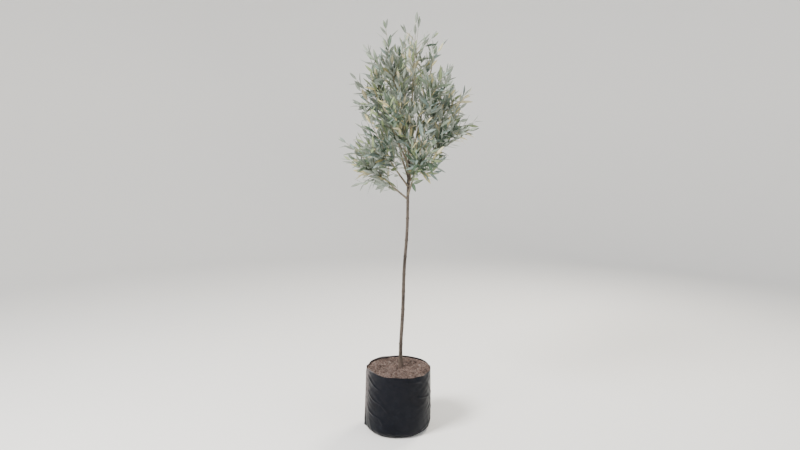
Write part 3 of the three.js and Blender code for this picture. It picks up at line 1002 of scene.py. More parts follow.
def twigs_piece(name, parts, rows):
    """Tubes with the same number of rings, joined into one piece."""
    one = grid_faces(rows, TWIG_COLUMNS, inward=True)
    faces = copied_faces(one, len(parts), rows * TWIG_COLUMNS + 2)
    piece = mesh_object(name, np.concatenate(parts), faces, [TWIG_BARK])
    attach(piece, "root")
    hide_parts(*MASSES)
    return piece


stem_taper = (mix(*BOUGH_RADIUS, BOUGH_SHARE) * STEM_SWELL, STEM_TIP)
stem_parts, fine_parts = [], []
for line, grown in zip(boughs, growth):
    lap = BOUGH_SHARE * line["reached"][-1] - STEM_LAP
    stem_parts += [twig_points(stem, lap, stem_taper, STEM_ROWS) for stem in grown["stem"]]
    stem_parts += [twig_points(shoot, 0, SHOOT_TAPER, STEM_ROWS) for shoot in grown["shoots"]]
    fine_parts += [twig_points(twig, 0, TWIG_TAPER, TWIG_ROWS) for twig in grown["twigs"]]
stems = twigs_piece("stems_and_shoots", stem_parts, STEM_ROWS)
fine_twigs = twigs_piece("fine_twigs", fine_parts, TWIG_ROWS)
print("triangles of stems and shoots", triangles(stems), "and of twigs", triangles(fine_twigs))

# %% [markdown]
# ## Leaves
#
# An olive leaf is narrow and leathery, dusty green above and silvery below, on a short
# stalk. Flat cards with a picture of a leaf are the usual short cut, but their edges show
# close up. Here a leaf is a closed lens: five rings of four points, a sunk midrib above, a
# raised one below. The same small template is placed about two thousand times by arithmetic
# on arrays, each leaf with its own frame, size and curl.

# %% Shape one leaf
RING_PLACES = np.array([0.055, 0.2, 0.42, 0.66, 0.87])
RING_WIDTHS = np.array([0.09, 0.6, 1.0, 0.86, 0.42]) / 2
LEAF_CORNERS = 2 + 4 * len(RING_PLACES)


def leaf_template():
    """Columns of share along, half widths across, and thickness: rings of left, top, right, under."""
    rows = [(0.0, 0.0, 0.0)]
    for place, half in zip(RING_PLACES, RING_WIDTHS):
        rows += [(place, -half, 0.0), (place, 0.0, 1.0), (place, half, 0.0), (place, 0.0, -1.0)]
    rows.append((1.0, 0.0, 0.0))
    return np.array(rows)


def leaf_faces():
    """Faces of one leaf and whether each is on the underside: fans at both tips, four-sided between."""
    left, top, right, under = (1 + np.arange(len(RING_PLACES)) * 4 + n for n in range(4))
    tip = LEAF_CORNERS - 1
    quads, quad_side = [], []
    for a, b, side in ((top, left, 0), (right, top, 0), (under, right, 1), (left, under, 1)):
        quads.append(np.stack([a[:-1], a[1:], b[1:], b[:-1]], -1))
        quad_side += [side] * (len(a) - 1)
    around = (left, top, right, under, left)
    foot = [(0, b[0], a[0]) for a, b in zip(around, around[1:])]
    end = [(tip, a[-1], b[-1]) for a, b in zip(around, around[1:])]
    return np.concatenate(quads), np.array(quad_side), np.array(foot + end), np.array([0, 0, 1, 1] * 2)


TEMPLATE = leaf_template()
QUADS, QUAD_SIDE, FANS, FAN_SIDE = leaf_faces()
print("one leaf has", 2 * len(QUADS) + len(FANS), "triangles")

# %% Set leaves in crossed pairs along a line
LEAF_LENGTH = 66 * MM
PAIR_ANGLE = 37
CLOSING_ANGLE = 15
PAIR_ANGLE_VARIES = 11
PAIR_TURN = 0.45
LEAF_SIZES = (0.8, 1.12)
TIP_SIZE = 0.72
SIZE_GAIN = 0.35
SHADED_KEEP = 0.4
SHADED_OUT = (25 * MM, 115 * MM)
CLOSING_GAP = 0.5 * MM


def kept_by_light(points):
    """The share of leaves that stay, rising with the distance from the trunk's line: olives shed
    those near the middle of the crown, in its shade."""
    axis = trunk["point"][-1]
    out = np.hypot(points[:, 0] - axis[0], points[:, 1] - axis[1])
    return mix(SHADED_KEEP, 1, ease(out, *SHADED_OUT))


def pairs_along(line, first, spacing, keep, draw, index):
    """Leaf frames along one line: crossed pairs, smaller at the tip, with a closing pair there. A
    leaf stays if its tip is in its bough's own space and a draw is under the share to keep."""
    end = line["reached"][-1]
    count = max(2, int(round((end - first) / spacing)) + 1)
    reached = np.repeat(np.linspace(first, end - CLOSING_GAP, count), 2)
    pair = np.repeat(np.arange(count), 2)
    half = np.tile([0, 1], count)
    point, along, side = stations(line, reached)
    closing = pair == count - 1
    jitter = draw.uniform(-PAIR_ANGLE_VARIES, PAIR_ANGLE_VARIES, 2 * count)
    angle = np.radians(np.where(closing, CLOSING_ANGLE, PAIR_ANGLE) + jitter)
    turn = crossed_turn(pair, half) + draw.uniform(-PAIR_TURN, PAIR_TURN, 2 * count)
    length = leaning(along, side, angle, turn)
    grown = np.clip(TIP_SIZE + SIZE_GAIN * ((end - reached) / LEAF_LENGTH), 0, 1)
    size = grown * draw.uniform(*LEAF_SIZES, 2 * count)
    tips = point + length * (size * LEAF_LENGTH)[:, None]
    free = in_own_space(tips, index, -SPACE_MARGIN)
    wanted = np.where(closing, 1, keep * kept_by_light(point))
    kept = free & (draw.uniform(0, 1, 2 * count) < wanted)
    rows = {"point": point, "along": along, "length": length, "size": size, "from_tip": end - reached}
    return {key: values[kept] for key, values in rows.items()}


shares = kept_by_light(trunk["point"][-1] + np.array([[0, 0, 0], [70, 0, 0], [140, 0, 0]]) * MM)
print("share of leaves kept from the middle outwards:", shares.round(2))

# %% Gather every leaf of the crown
LEAF_PLACES = {
    "stem": (12 * MM, 25 * MM, 0.85),
    "shoots": (14 * MM, 24 * MM, 0.92),
    "twigs": (12 * MM, 21 * MM, 0.95),
}


def all_leaves():
    """Every leaf as one table of arrays. Each line is a spray, with its own first place, spacing
    and share to keep, and a stem's leaves begin where its bough's bark ends."""
    tables = []
    for index, (line, grown) in enumerate(zip(boughs, growth)):
        draw = np.random.default_rng(500 + index)
        for part, (first, spacing, keep) in LEAF_PLACES.items():
            bare = BOUGH_SHARE * line["reached"][-1] if part == "stem" else 0
            for limb in grown[part]:
                tables.append(pairs_along(limb, bare + first, spacing, keep, draw, index))
    for spray, rows in enumerate(tables):
        rows["spray"] = np.full(len(rows["size"]), spray)
    return {key: np.concatenate([rows[key] for rows in tables]) for key in tables[0]}


leaves = all_leaves()
print("leaves:", len(leaves["size"]), "on", leaves["spray"].max() + 1, "sprays")

# %% Place the template on every leaf's frame
LEAF_WIDTH = 15 * MM
LEAF_THICKNESS = 0.45 * MM
WIDTH_POWER = 0.7
WIDTHS = (0.85, 1.12)
DROOPS = (-0.12, 0.02)
ROLLS = (-0.5, 0.5)
CURLS = (-0.02, 0.16)
BENDS = (-0.05, 0.05)
CHANNEL_DEPTH = 0.11
CHANNEL_FILL = 0.9


def leaf_frames(table, draw):
    """The long, wide and upper directions of every leaf: it droops a little and is rolled."""
    count = len(table["size"])
    long_way = unit(table["length"] + UP * draw.uniform(*DROOPS, (count, 1)))
    wide_way = unit(np.cross(long_way, table["along"]))
    upper = np.cross(wide_way, long_way)
    roll = draw.uniform(*ROLLS, (count, 1))
    wide_way = wide_way * np.cos(roll) + upper * np.sin(roll)
    return long_way, wide_way, np.cross(wide_way, long_way)


def leaf_points(table, draw):
    """Point + long direction x share + wide direction x (across + a bend of share squared) + upper
    direction x (thickness + a channel of across squared - a curl of share squared)."""
    long_way, wide_way, upper = leaf_frames(table, draw)
    count = len(table["size"])
    size = (table["size"] * LEAF_LENGTH)[:, None]
    width = (table["size"] ** WIDTH_POWER * LEAF_WIDTH * draw.uniform(*WIDTHS, count))[:, None]
    curl = draw.uniform(*CURLS, (count, 1))
    bend = draw.uniform(*BENDS, (count, 1))
    share, across, thick = TEMPLATE.T
    channel = CHANNEL_FILL * (2 * across) ** 2 * np.sin(math.pi * share)
    rise = LEAF_THICKNESS * thick + width * CHANNEL_DEPTH * channel - size * curl * share**2
    sideways = width * across + size * bend * share**2
    places = table["point"][:, None] + long_way[:, None] * (size * share)[..., None]
    return places + wide_way[:, None] * sideways[..., None] + upper[:, None] * rise[..., None]


trial_leaves = leaf_points(leaves, np.random.default_rng(1))
print("the leaves reach up to", round(float(trial_leaves[..., 2].max()), 3), "metres")

# %% Join leaves into a piece
def sharp_edges(piece):
    """Marks the edges at both tips, and those that run lengthwise between like corners, as sharp."""
    edges = np.zeros(2 * len(piece.data.edges), np.int32)
    piece.data.edges.foreach_get("vertices", edges)
    first, second = (edges.reshape(-1, 2) % LEAF_CORNERS).T
    lengthwise = (first - second) % 4 == 0
    at_tips = np.isin(first, (0, LEAF_CORNERS - 1)) | np.isin(second, (0, LEAF_CORNERS - 1))
    sharp = piece.data.attributes.new("sharp_edge", "BOOLEAN", "EDGE")
    sharp.data.foreach_set("value", lengthwise | at_tips)


def leaf_piece(name, table, materials, seed):
    """Leaves joined into one mesh, upper faces in the first material and undersides in the second."""
    points = leaf_points(table, np.random.default_rng(seed))
    count = len(points)
    faces = copied_faces((QUADS, FANS), count, LEAF_CORNERS)
    side = np.concatenate([np.tile(QUAD_SIDE, count), np.tile(FAN_SIDE, count)])
    flat = np.tile(np.stack([TEMPLATE[:, 0], TEMPLATE[:, 1] + 0.5], -1), (count, 1))
    piece = mesh_object(name, points.reshape(-1, 3), faces, materials, uv=flat, face_material=side)
    sharp_edges(piece)
    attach(piece, "root")
    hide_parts(*MASSES)
    return piece


print("all the leaves will have", len(leaves["size"]) * (2 * len(QUADS) + len(FANS)), "triangles")

# %% [markdown]
# ## Leaf finishes
#
# The upper side of an olive leaf is a dull grey-green under a bloom of wax. Tiny scales make
# the underside nearly silver. A few young sprays are yellower. Darker sprays are partly older
# leaves and partly painted shade, for the shade between the leaves. A pale yellow tint on a few
# leaves is a painted sun glint, standing for leaves lit by the sun from behind. The shades could
# be drawn for each leaf by a random node, but real sprays share a shade, so plain tints are
# dealt out by spray instead. The two faces of a leaf have their own materials.

# %% Make the leaf materials
RIB_EDGE = (0.02, 0.07)
RIB_SHARE = 0.55
RIB_PALER = 1.35
GRAIN_ROUGHER, GRAIN_BELOW = 0.25, 0.12
VEIN_SCALE = 650.0
LEAF_PATCHES = 75.0


def leaf_material(name, tones, roughness, specular):
    """A leathery face: mottled tones, a paler midrib from the leaf's own UV map, fine veins."""
    material, tree, shader, place = new_material(name)
    colour, grain = mottled(tree, place, tones, LEAF_PATCHES)
    split = tree.nodes.new("ShaderNodeSeparateXYZ")
    tree.links.new(tree.nodes["Texture Coordinate"].outputs["UV"], split.inputs[0])
    off_rib = math_node(tree, "ABSOLUTE", math_node(tree, "SUBTRACT", split.outputs["Y"], 0.5))
    rib = math_node(tree, "SUBTRACT", 1.0, span(tree, off_rib, *RIB_EDGE))
    pale = tuple(min(1.0, RIB_PALER * value + 0.02) for value in tones[-1])
    ribbed = blend_colours(tree, math_node(tree, "MULTIPLY", rib, RIB_SHARE), colour, pale)
    tree.links.new(ribbed, shader.inputs["Base Color"])
    rough = math_node(tree, "MULTIPLY_ADD", grain, GRAIN_ROUGHER, roughness - GRAIN_BELOW)
    tree.links.new(rough, shader.inputs["Roughness"])
    shader.inputs["Specular IOR Level"].default_value = specular
    bump(tree, shader, noise(tree, place, VEIN_SCALE), distance=0.3 * MM, strength=0.5)
    return material


SILVER = ((0.207, 0.236, 0.2), (0.292, 0.327, 0.28), (0.392, 0.428, 0.367))
# Undersides of the sun-glint leaves: a painted pale yellow, standing for leaves lit by the sun from
# behind.
PAINTED_GLINT_UNDER_TONES = ((0.36, 0.33, 0.2), (0.5, 0.46, 0.3), (0.62, 0.57, 0.4))
UNDERSIDE = leaf_material("leaf_under", SILVER, roughness=0.72, specular=0.25)
PAINTED_GLINT_UNDER = leaf_material("leaf_under_painted_sun_glint", PAINTED_GLINT_UNDER_TONES, roughness=0.7, specular=0.25)
print("undersides:", UNDERSIDE.name, PAINTED_GLINT_UNDER.name)

# %% Deal the tints out by spray
TINTS = {
    "dusty": ((0.069, 0.097, 0.061), (0.115, 0.151, 0.098), (0.176, 0.218, 0.149)),
    # Darker sprays: partly the real colour of older leaves, partly painted shade for the shade inside
    # the crown.
    "deep_and_shaded": ((0.028, 0.05, 0.029), (0.052, 0.081, 0.05), (0.089, 0.126, 0.081)),
    "blue_grey": ((0.09, 0.128, 0.112), (0.138, 0.184, 0.162), (0.196, 0.244, 0.217)),
    # Not a leaf colour: a painted sun glint, the pale yellow of leaves lit from behind.
    "painted_sun_glint": ((0.24, 0.22, 0.09), (0.38, 0.34, 0.165), (0.53, 0.465, 0.26)),
    "young": ((0.105, 0.14, 0.062), (0.17, 0.212, 0.1), (0.245, 0.29, 0.155)),
}
SPRAY_SHARES = (0.44, 0.29, 0.255, 0.015, 0.0)
COMMON_TINTS = 3
STRAYS = 0.25
# The share of leaves, anywhere in the crown, that get the painted sun-glint tint.
PAINTED_GLINT_STRAYS = 0.075
YOUNG_SHARE = 0.38
YOUNG_REACH = 50 * MM


def deal_tints(draw):
    """The number of each leaf's tint: its spray's, but that of a common tint for strays, young for
    some near the tips, and the painted sun-glint tint for a few anywhere."""
    count = len(leaves["size"])
    sprays = leaves["spray"].max() + 1
    tint = draw.choice(len(TINTS), sprays, p=SPRAY_SHARES)[leaves["spray"]]
    strays = draw.uniform(0, 1, count) < STRAYS
    tint[strays] = draw.choice(COMMON_TINTS, strays.sum())
    young = (leaves["from_tip"] < YOUNG_REACH) & (draw.uniform(0, 1, count) < YOUNG_SHARE)
    tint[young] = list(TINTS).index("young")
    tint[draw.uniform(0, 1, count) < PAINTED_GLINT_STRAYS] = list(TINTS).index("painted_sun_glint")
    return tint


leaf_tint = deal_tints(np.random.default_rng(77))
print("leaves of each tint:", dict(zip(TINTS, np.bincount(leaf_tint).tolist())))

# %% Build one piece of leaves for each tint
for number, (tint, tones) in enumerate(TINTS.items()):
    upper = leaf_material("leaf_" + tint, tones, roughness=0.56, specular=0.42)
    under = PAINTED_GLINT_UNDER if tint == "painted_sun_glint" else UNDERSIDE
    table = {key: values[leaf_tint == number] for key, values in leaves.items()}
    piece = leaf_piece("leaves_" + tint, table, [upper, under], 900 + number)
    print(piece.name, len(table["size"]), "leaves,", triangles(piece), "triangles")

# %% [markdown]
# ## Grow bag
#
# The bag is blown polythene film, laid flat in the roll with two side gussets. Filled, its
# gusset folds stand out as two sharp upright pleats, and the film between them creases where
# the mix has settled. A cloth simulation could fill a flat bag, but its creases would never
# lie where the solids' bulges are. So one profile runs up the outside, over the cut rim and
# down the inside, and is carried round the bag with the creases added to its radius.

# %% Repeat the bag's profile and bulges
BAG_RADIUS = 150 * MM
BAG_LEAN = 8 * MM
BAG_TUCK = {"share": 0.15, "height": 10 * MM}
BAG_TAPER = {"share": 0.035, "power": 1.6}
BAG_BELLY = {"share": 0.011, "waves": 3, "turn": 0.7, "pitch": 110 * MM}
BAG_SLACK = {"share": 0.007, "waves": 7, "turn": 2, "pitch": -45 * MM}
MIX_SLOPE = (-0.012, 0.012)
RIM_LEVEL = MIX_LEVEL + 7 * MM
RIM_RISE = 2.6 * MM
RIM_BEARING = math.radians(165)
RIM_RIPPLE = 1.2 * MM
RIM_WAVES = 5


def bag_radius(height):
    """The solids' profile: tucked in at the foot by a share that dies away by e in its height, and
    narrowed towards the rim by a share x (height / level of the mix) to a power."""
    tuck = 1 - BAG_TUCK["share"] * np.exp(-height / BAG_TUCK["height"])
    narrowed = (np.clip(height, 0, None) / MIX_LEVEL) ** BAG_TAPER["power"]
    return BAG_RADIUS * tuck * (1 - BAG_TAPER["share"] * narrowed)


def bag_wave(bearing, height, share, waves, turn, pitch):
    """Share x cos(waves x bearing + turn + height / pitch)."""
    return share * np.cos(waves * bearing + turn + height / pitch)


def bag_relief(bearing, height):
    """The solids' bulges, as a factor: 1 + three broad waves + seven slack ones round the bag."""
    return 1 + bag_wave(bearing, height, **BAG_BELLY) + bag_wave(bearing, height, **BAG_SLACK)


def rim_fold(bearing):
    """Rise x cos(angle from its highest bearing), plus ripple x cos(5 bearing + 1)."""
    rise = RIM_RISE * np.cos(bearing - RIM_BEARING)
    return rise + RIM_RIPPLE * np.cos(RIM_WAVES * bearing + 1)


def mix_slope(x, y):
    """The slight slope of the top of the mix: a share of x plus a share of y."""
    return MIX_SLOPE[0] * x + MIX_SLOPE[1] * y


middle_ring = bag_radius(MIX_LEVEL / 2) * bag_relief(ring_bearings(360), MIX_LEVEL / 2)
print("half way up, the radius is", middle_ring.min().round(4), "to", middle_ring.max().round(4))

# %% Crease the film
PLEAT_BEARINGS = (math.radians(11.25), math.radians(191.25))
PLEAT_BEGINS = (4 * MM, 22 * MM)
LEVEL_WAVES = [(1, 4), (30.0, 65.0)]
LEVEL_FOLD, LEVEL_WIDTH = 2.0, 0.3
SLANTING_WAVES = [(1, 5), (15.0, 35.0)]
SLANTING_FOLD, SLANTING_WIDTH = 1.2, 0.28
CRUMPLE_WAVES = [(10, 30), (100.0, 300.0)]
CRUMPLE_EVERYWHERE, CRUMPLE_IN_PATCHES = 0.15, 0.3
PATCH_WAVES = [(1, 4), (8.0, 25.0)]
PATCH_EDGE = (-0.4, 0.8)
BESIDE_PLEAT, BESIDE_WIDTH = 0.7, 0.3
ON_CREST, CREST_BAND = 1.6, 0.06
GATHERS = 11
GATHER_DRIFT = 3
GATHER_DEPTH = 2.4 * MM
GATHER_FADE = 45 * MM
GATHER_PITCH = 30 * MM


def pleats(bearing, height, width):
    """1 on the crest of either gusset fold, falling away as exp(-|angle| / width)."""
    nearest = np.minimum(*(np.abs(off_bearing(bearing, middle)) for middle in PLEAT_BEARINGS))
    return np.exp(-nearest / width) * ease(height, *PLEAT_BEGINS)


def ridges(grid, waves, seed, width):
    """Narrow ridges of height 1 along the lines where a ripple crosses zero."""
    return np.exp(-((ripple(grid, waves, seed) / width) ** 2))


def creases(bearing, height):
    """Folds of slack film in metres: level and slanting ridges, strongest beside the pleats
    but none on their crests, gathers low down, and finer crumples over them."""
    grid = np.broadcast_arrays(bearing, height)
    level = ridges(grid, LEVEL_WAVES, 21, LEVEL_WIDTH)
    slanting = ridges(grid, SLANTING_WAVES, 22, SLANTING_WIDTH)
    crumple = ripple(grid, CRUMPLE_WAVES, seed=23)
    patch = ease(ripple(grid, PATCH_WAVES, seed=24), *PATCH_EDGE)
    low = np.exp(-height / GATHER_FADE)
    drift = GATHER_DRIFT * np.sin(2 * bearing)
    gathers = np.abs(np.cos(GATHERS * bearing + drift + height / GATHER_PITCH))
    beside = 1 + BESIDE_PLEAT * pleats(bearing, height, BESIDE_WIDTH)
    beside = beside - ON_CREST * pleats(bearing, height, CREST_BAND)
    folds = LEVEL_FOLD * level * patch + SLANTING_FOLD * slanting * (1 - 0.5 * patch)
    crumpling = CRUMPLE_IN_PATCHES * patch + CRUMPLE_EVERYWHERE
    return folds * MM * beside + crumpling * MM * crumple * beside - GATHER_DEPTH * gathers * low


trial_grid = np.meshgrid(ring_bearings(180), np.linspace(20, 270, 100) * MM, indexing="ij")
print("creases rise and fall by", round(float(np.ptp(creases(*trial_grid))), 4), "metres")

# %% Shape the film as a function of bearing and height
FILM_INSET = 1.2 * MM
FIN_HEIGHT, FIN_WIDTH = 7.5 * MM, 0.032
EAR_HEIGHT, EAR_WIDTH = 5 * MM, 0.06
EAR_LEVEL, EAR_REACH = 18 * MM, 9 * MM
FLUTTER = 1.6 * MM
CREASES_BEGIN = 9 * MM
SLOPE_BEGINS = MIX_LEVEL - 60 * MM
UNDERSIDE_ROWS = 8
UNDERSIDE_SHRINK = 0.06
FOOT_ROWS = np.linspace(0.4, 9, 9) * MM
SIDE_ROWS = np.linspace(10.5, 272, 176) * MM
LINING_ROWS = np.linspace(MIX_LEVEL, 150 * MM, 26)
LINING_FOOT = [90 * MM, 40 * MM, 12 * MM]
RIM_ROWS = 6
BAG_COLUMNS = 400


def film_point(bearing, height, inset, share_up):
    """A point of the film: its radius is the profile x the bulges, plus creases, pleats and the
    ears at their feet, less an inset. share_up is 1 on the rim and 0 at the mix."""
    capped = np.minimum(height, MIX_LEVEL)
    fin = FIN_HEIGHT * pleats(bearing, capped, FIN_WIDTH) * (1 - 0.5 * share_up)
    ear = np.exp(-(((height - EAR_LEVEL) / EAR_REACH) ** 2))
    ears = EAR_HEIGHT * pleats(bearing, capped, EAR_WIDTH) * ear
    radius = bag_radius(capped) * bag_relief(bearing, capped) - FILM_INSET
    radius = radius + (creases(bearing, height) + fin + ears) * ease(height, 0, CREASES_BEGIN) - inset
    radius = radius + FLUTTER * np.cos(9 * bearing + 2 * np.cos(2 * bearing)) * share_up
    x, y = radius * np.cos(bearing), radius * np.sin(bearing)
    top = mix_slope(x, y) * ease(height, SLOPE_BEGINS, MIX_LEVEL) + rim_fold(bearing) * share_up
    return np.stack([x + BAG_LEAN * height / MIX_LEVEL, y, height + top], -1)


def film_heights():
    """Heights up the outside, over the rim and down the inside to the floor of the bag, and how
    far each row stands in from the outside: 0.5 mm at the rim's inner edge, 0.9 mm below it."""
    outside = np.concatenate([np.zeros(UNDERSIDE_ROWS), FOOT_ROWS, SIDE_ROWS, [MIX_LEVEL]])
    above = np.linspace(MIX_LEVEL + 1 * MM, RIM_LEVEL, RIM_ROWS)
    lining = np.concatenate([LINING_ROWS, LINING_FOOT])
    height = np.concatenate([outside, above, above[::-1], lining])
    counts = [len(outside) + len(above), len(above), len(lining)]
    return height, np.repeat([0.0, 0.5, 0.9], counts) * MM


def film_grid():
    """All rows of the film. The first few lie on the ground and shrink to a small ring."""
    height, inset = film_heights()
    share_up = np.clip((height - MIX_LEVEL) / (RIM_LEVEL - MIX_LEVEL), 0, 1)
    bearing = ring_bearings(BAG_COLUMNS)
    grid = film_point(bearing[None], height[:, None], inset[:, None], share_up[:, None])
    grid[:UNDERSIDE_ROWS, :, :2] *= np.linspace(UNDERSIDE_SHRINK, 1, UNDERSIDE_ROWS)[:, None, None]
    return grid


film_rows = film_grid()
print("film grid", film_rows.shape, "lowest point", round(float(film_rows[..., 2].min()), 5))

# %% [markdown]
# ## Film finish
#
# Black film is never quite black. Its tones are tinted blue all over, a painted reflection of
# the sky, and a little dust settles where it faces up. Along each gusset pleat and the cut rim
# it has pale painted highlights, the lit edges of the folds, put into its colour. They could be
# found from the mesh's curvature, but they would then follow every crease. So a highlight
# value for each point is worked out from its bearing and height, kept as an attribute, and
# broken into flecks by the material.

# %% Make the film material
# Near-black tones tinted blue all over: the blue is a painted reflection of the sky.
FILM_TONES = ((0.0012, 0.0019, 0.0042), (0.002, 0.003, 0.0062), (0.0038, 0.0053, 0.0095))
# Pale colour of the painted highlights on the pleats and the cut rim.
PAINTED_HIGHLIGHT_COLOUR = (0.27, 0.238, 0.232)
FILM_DUST = (0.08, 0.062, 0.058)
FLECK_NOISE = 2.2
FLECK_EDGE = (0.1, 1.0)


def film_material():
    """Near-black film: soft gloss, a little dust, and a pale painted highlight where the highlight
    attribute plus noise passes a threshold, so that it thins out in flecks and not in a blur."""
    material, tree, shader, place = new_material("black_film")
    colour, _ = mottled(tree, place, FILM_TONES, scale=9.0)
    painted_highlight = tree.nodes.new("ShaderNodeAttribute")
    painted_highlight.attribute_name = "painted_highlight"
    specks = noise(tree, place, 30.0, detail=8.0, roughness=0.72)
    # Noise that breaks the painted highlight into flecks.
    highlight_breakup = math_node(tree, "MULTIPLY_ADD", specks, FLECK_NOISE, -FLECK_NOISE / 2)
    flecks = span(tree, math_node(tree, "ADD", painted_highlight.outputs["Fac"], highlight_breakup), *FLECK_EDGE)
    highlight_amount = math_node(tree, "MULTIPLY", flecks, painted_highlight.outputs["Fac"])
    pale = blend_colours(tree, highlight_amount, colour, PAINTED_HIGHLIGHT_COLOUR)
    dusty = use_group(tree, DUST, place, Color=pale, Dust=FILM_DUST, Amount=0.1)
    tree.links.new(dusty.outputs["Color"], shader.inputs["Base Color"])
    smears = noise(tree, place, 22.0, detail=5.0, roughness=0.6)
    gloss = math_node(tree, "MULTIPLY_ADD", smears, 0.3, 0.24)
    tree.links.new(math_node(tree, "MULTIPLY_ADD", highlight_amount, 0.4, gloss), shader.inputs["Roughness"])
    shader.inputs["Specular IOR Level"].default_value = 0.11
    crinkles = noise(tree, place, 160.0, detail=4.0, roughness=0.6)
    bump(tree, shader, crinkles, distance=0.6 * MM, strength=0.4)
    return material


FILM = film_material()
print(FILM.name, "has", len(FILM.node_tree.nodes), "nodes")

# %% Build the bag with its painted highlights
CREST_WIDTH = 0.03
# Strength of the painted highlight on the gusset panels and along the rim.
PANEL_HIGHLIGHT = 0.62
PANEL_WIDTHS = (0.28, 0.12)
HIGHLIGHT_HEIGHTS = (10 * MM, 150 * MM)
RIM_HIGHLIGHT = 0.6


def gusset_panel(bearing):
    """1 on either pleat's crest: exp(-(angle / width) squared), wide ahead of it, narrow behind."""
    off = [off_bearing(bearing, middle) for middle in PLEAT_BEARINGS]
    return np.maximum(*(np.exp(-((angle / np.where(angle > 0, *PANEL_WIDTHS)) ** 2)) for angle in off))


def painted_highlight_share(bearing, height):
    """Painted highlight, the greatest of three: each pleat's lit crest, its lit gusset panel, both
    fading towards the foot, and a thin lit line along the cut rim."""
    capped = np.minimum(height, MIX_LEVEL)
    upper = ease(height, *HIGHLIGHT_HEIGHTS)
    crest = pleats(bearing, capped, CREST_WIDTH) * (0.5 + 0.5 * upper)
    beside = PANEL_HIGHLIGHT * gusset_panel(bearing) * upper
    rim = RIM_HIGHLIGHT * ease(height, RIM_LEVEL - 4 * MM, RIM_LEVEL + 1 * MM)
    return np.maximum(np.maximum(crest, beside), rim)


def bag_piece():
    """The film as one closed skin, with the painted highlight attribute on its pleats and rim."""
    poles = (np.array([0.0, 0.0, 0.0]), np.array([0.0, 0.0, 12 * MM]))
    piece = wrapped_surface("film_bag", film_rows, poles, [FILM])
    painted_highlight = piece.data.attributes.new("painted_highlight", "FLOAT", "POINT")
    highlight_amount = painted_highlight_share(ring_bearings(BAG_COLUMNS)[None], film_rows[..., 2])
    painted_highlight.data.foreach_set("value", np.concatenate([highlight_amount.ravel(), [0, 0]]).astype(np.float32))
    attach(piece, "root")
    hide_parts("grow_bag")
    return piece


bag = bag_piece()
print(bag.name, triangles(bag), "triangles")

# %% [markdown]
# ## Potting mix
#
# The mix is composted bark, dried pale on top. A particle system could strew it, but the
# export wants plain meshes. Its top is a disc of rings whose height is lumps, crumbs and grit
# added together. Loose bark lies on it: flat chips, which are boxes with their corners pushed
# about, and thousands of small eight-faced crumbs, a heap of them round the foot of the trunk.

# %% Shape the top of the mix
LUMP_HEIGHT = 2.5 * MM
LUMP_SIZE = (17 * MM, 14 * MM)
LEVEL_SPOT = (24 * MM, 70 * MM)
BRIM_SHARES = (0.8, 0.95)
HEAP_HEIGHT, HEAP_REACH = 6 * MM, 26 * MM
ROUGH_HEIGHT, ROUGH_WAVES = 0.9 * MM, (60.0, 260.0)
CRUMB_HEIGHT, CRUMB_WAVES = 0.55 * MM, (400.0, 1300.0)
GRIT_HEIGHT, GRIT_WAVES = 0.35 * MM, (900.0, 1800.0)


def mix_top(x, y):
    """The solids' top with finer relief: level + free x (slope + lumps) + heap + rough + crumbs
    + grit, where free is 0 round the trunk's foot and 1 away from it."""
    from_trunk = np.hypot(x - FOOT[0], y - FOOT[1])
    free = ease(from_trunk, *LEVEL_SPOT)
    centred = x - BAG_LEAN
    off_rim = 1 - ease(np.hypot(centred, y) / bag_radius(MIX_LEVEL), *BRIM_SHARES)
    lumps = LUMP_HEIGHT * off_rim * np.sin(centred / LUMP_SIZE[0] + 1) * np.sin(y / LUMP_SIZE[1])
    rough = ROUGH_HEIGHT * ripple((x, y), [ROUGH_WAVES] * 2, 31)
    crumbs = CRUMB_HEIGHT * ripple((x, y), [CRUMB_WAVES] * 2, 32)
    grit = GRIT_HEIGHT * ripple((x, y), [GRIT_WAVES] * 2, 33)
    heap = HEAP_HEIGHT * np.exp(-((from_trunk / HEAP_REACH) ** 2))
    level = MIX_LEVEL + free * (mix_slope(centred, y) + lumps) + heap
    return level + rough * (0.4 + 0.6 * free) + crumbs + grit


mix_middle = float(mix_top(np.array(BAG_LEAN), np.array(0.0)))
print("the middle of the mix lies at", round(mix_middle, 4))

# %% Carry the mix from its middle to the floor of the bag
MIX_COLUMNS = 288
TOP_RINGS = np.linspace(0.012, 0.93, 92)
BRIM_RINGS = np.linspace(0.94, 1, 7)
TOP_INSET = 0.7 * MM
SIDE_INSET = 4 * MM
SIDE_LEVELS = (262, 150, 60, 14)


def mix_grid():
    """Rings from the middle of the top to its brim, then down the side to the floor of the bag."""
    shares = np.concatenate([TOP_RINGS, BRIM_RINGS])
    bearing = ring_bearings(MIX_COLUMNS)
    wall = film_point(bearing[None], np.array([[MIX_LEVEL]]), TOP_INSET, 0.0)[0]
    middle = np.array([BAG_LEAN, 0.0])
    flat = middle + shares[:, None, None] * (wall[None, :, :2] - middle)
    top = np.concatenate([flat, mix_top(flat[..., 0], flat[..., 1])[..., None]], -1)
    sides = [film_point(bearing, level * MM, SIDE_INSET, 0.0) for level in SIDE_LEVELS]
    return np.concatenate([top, np.array(sides)])


mix_rows = mix_grid()
print("mix grid", mix_rows.shape, "highest point", round(float(mix_rows[..., 2].max()), 4))

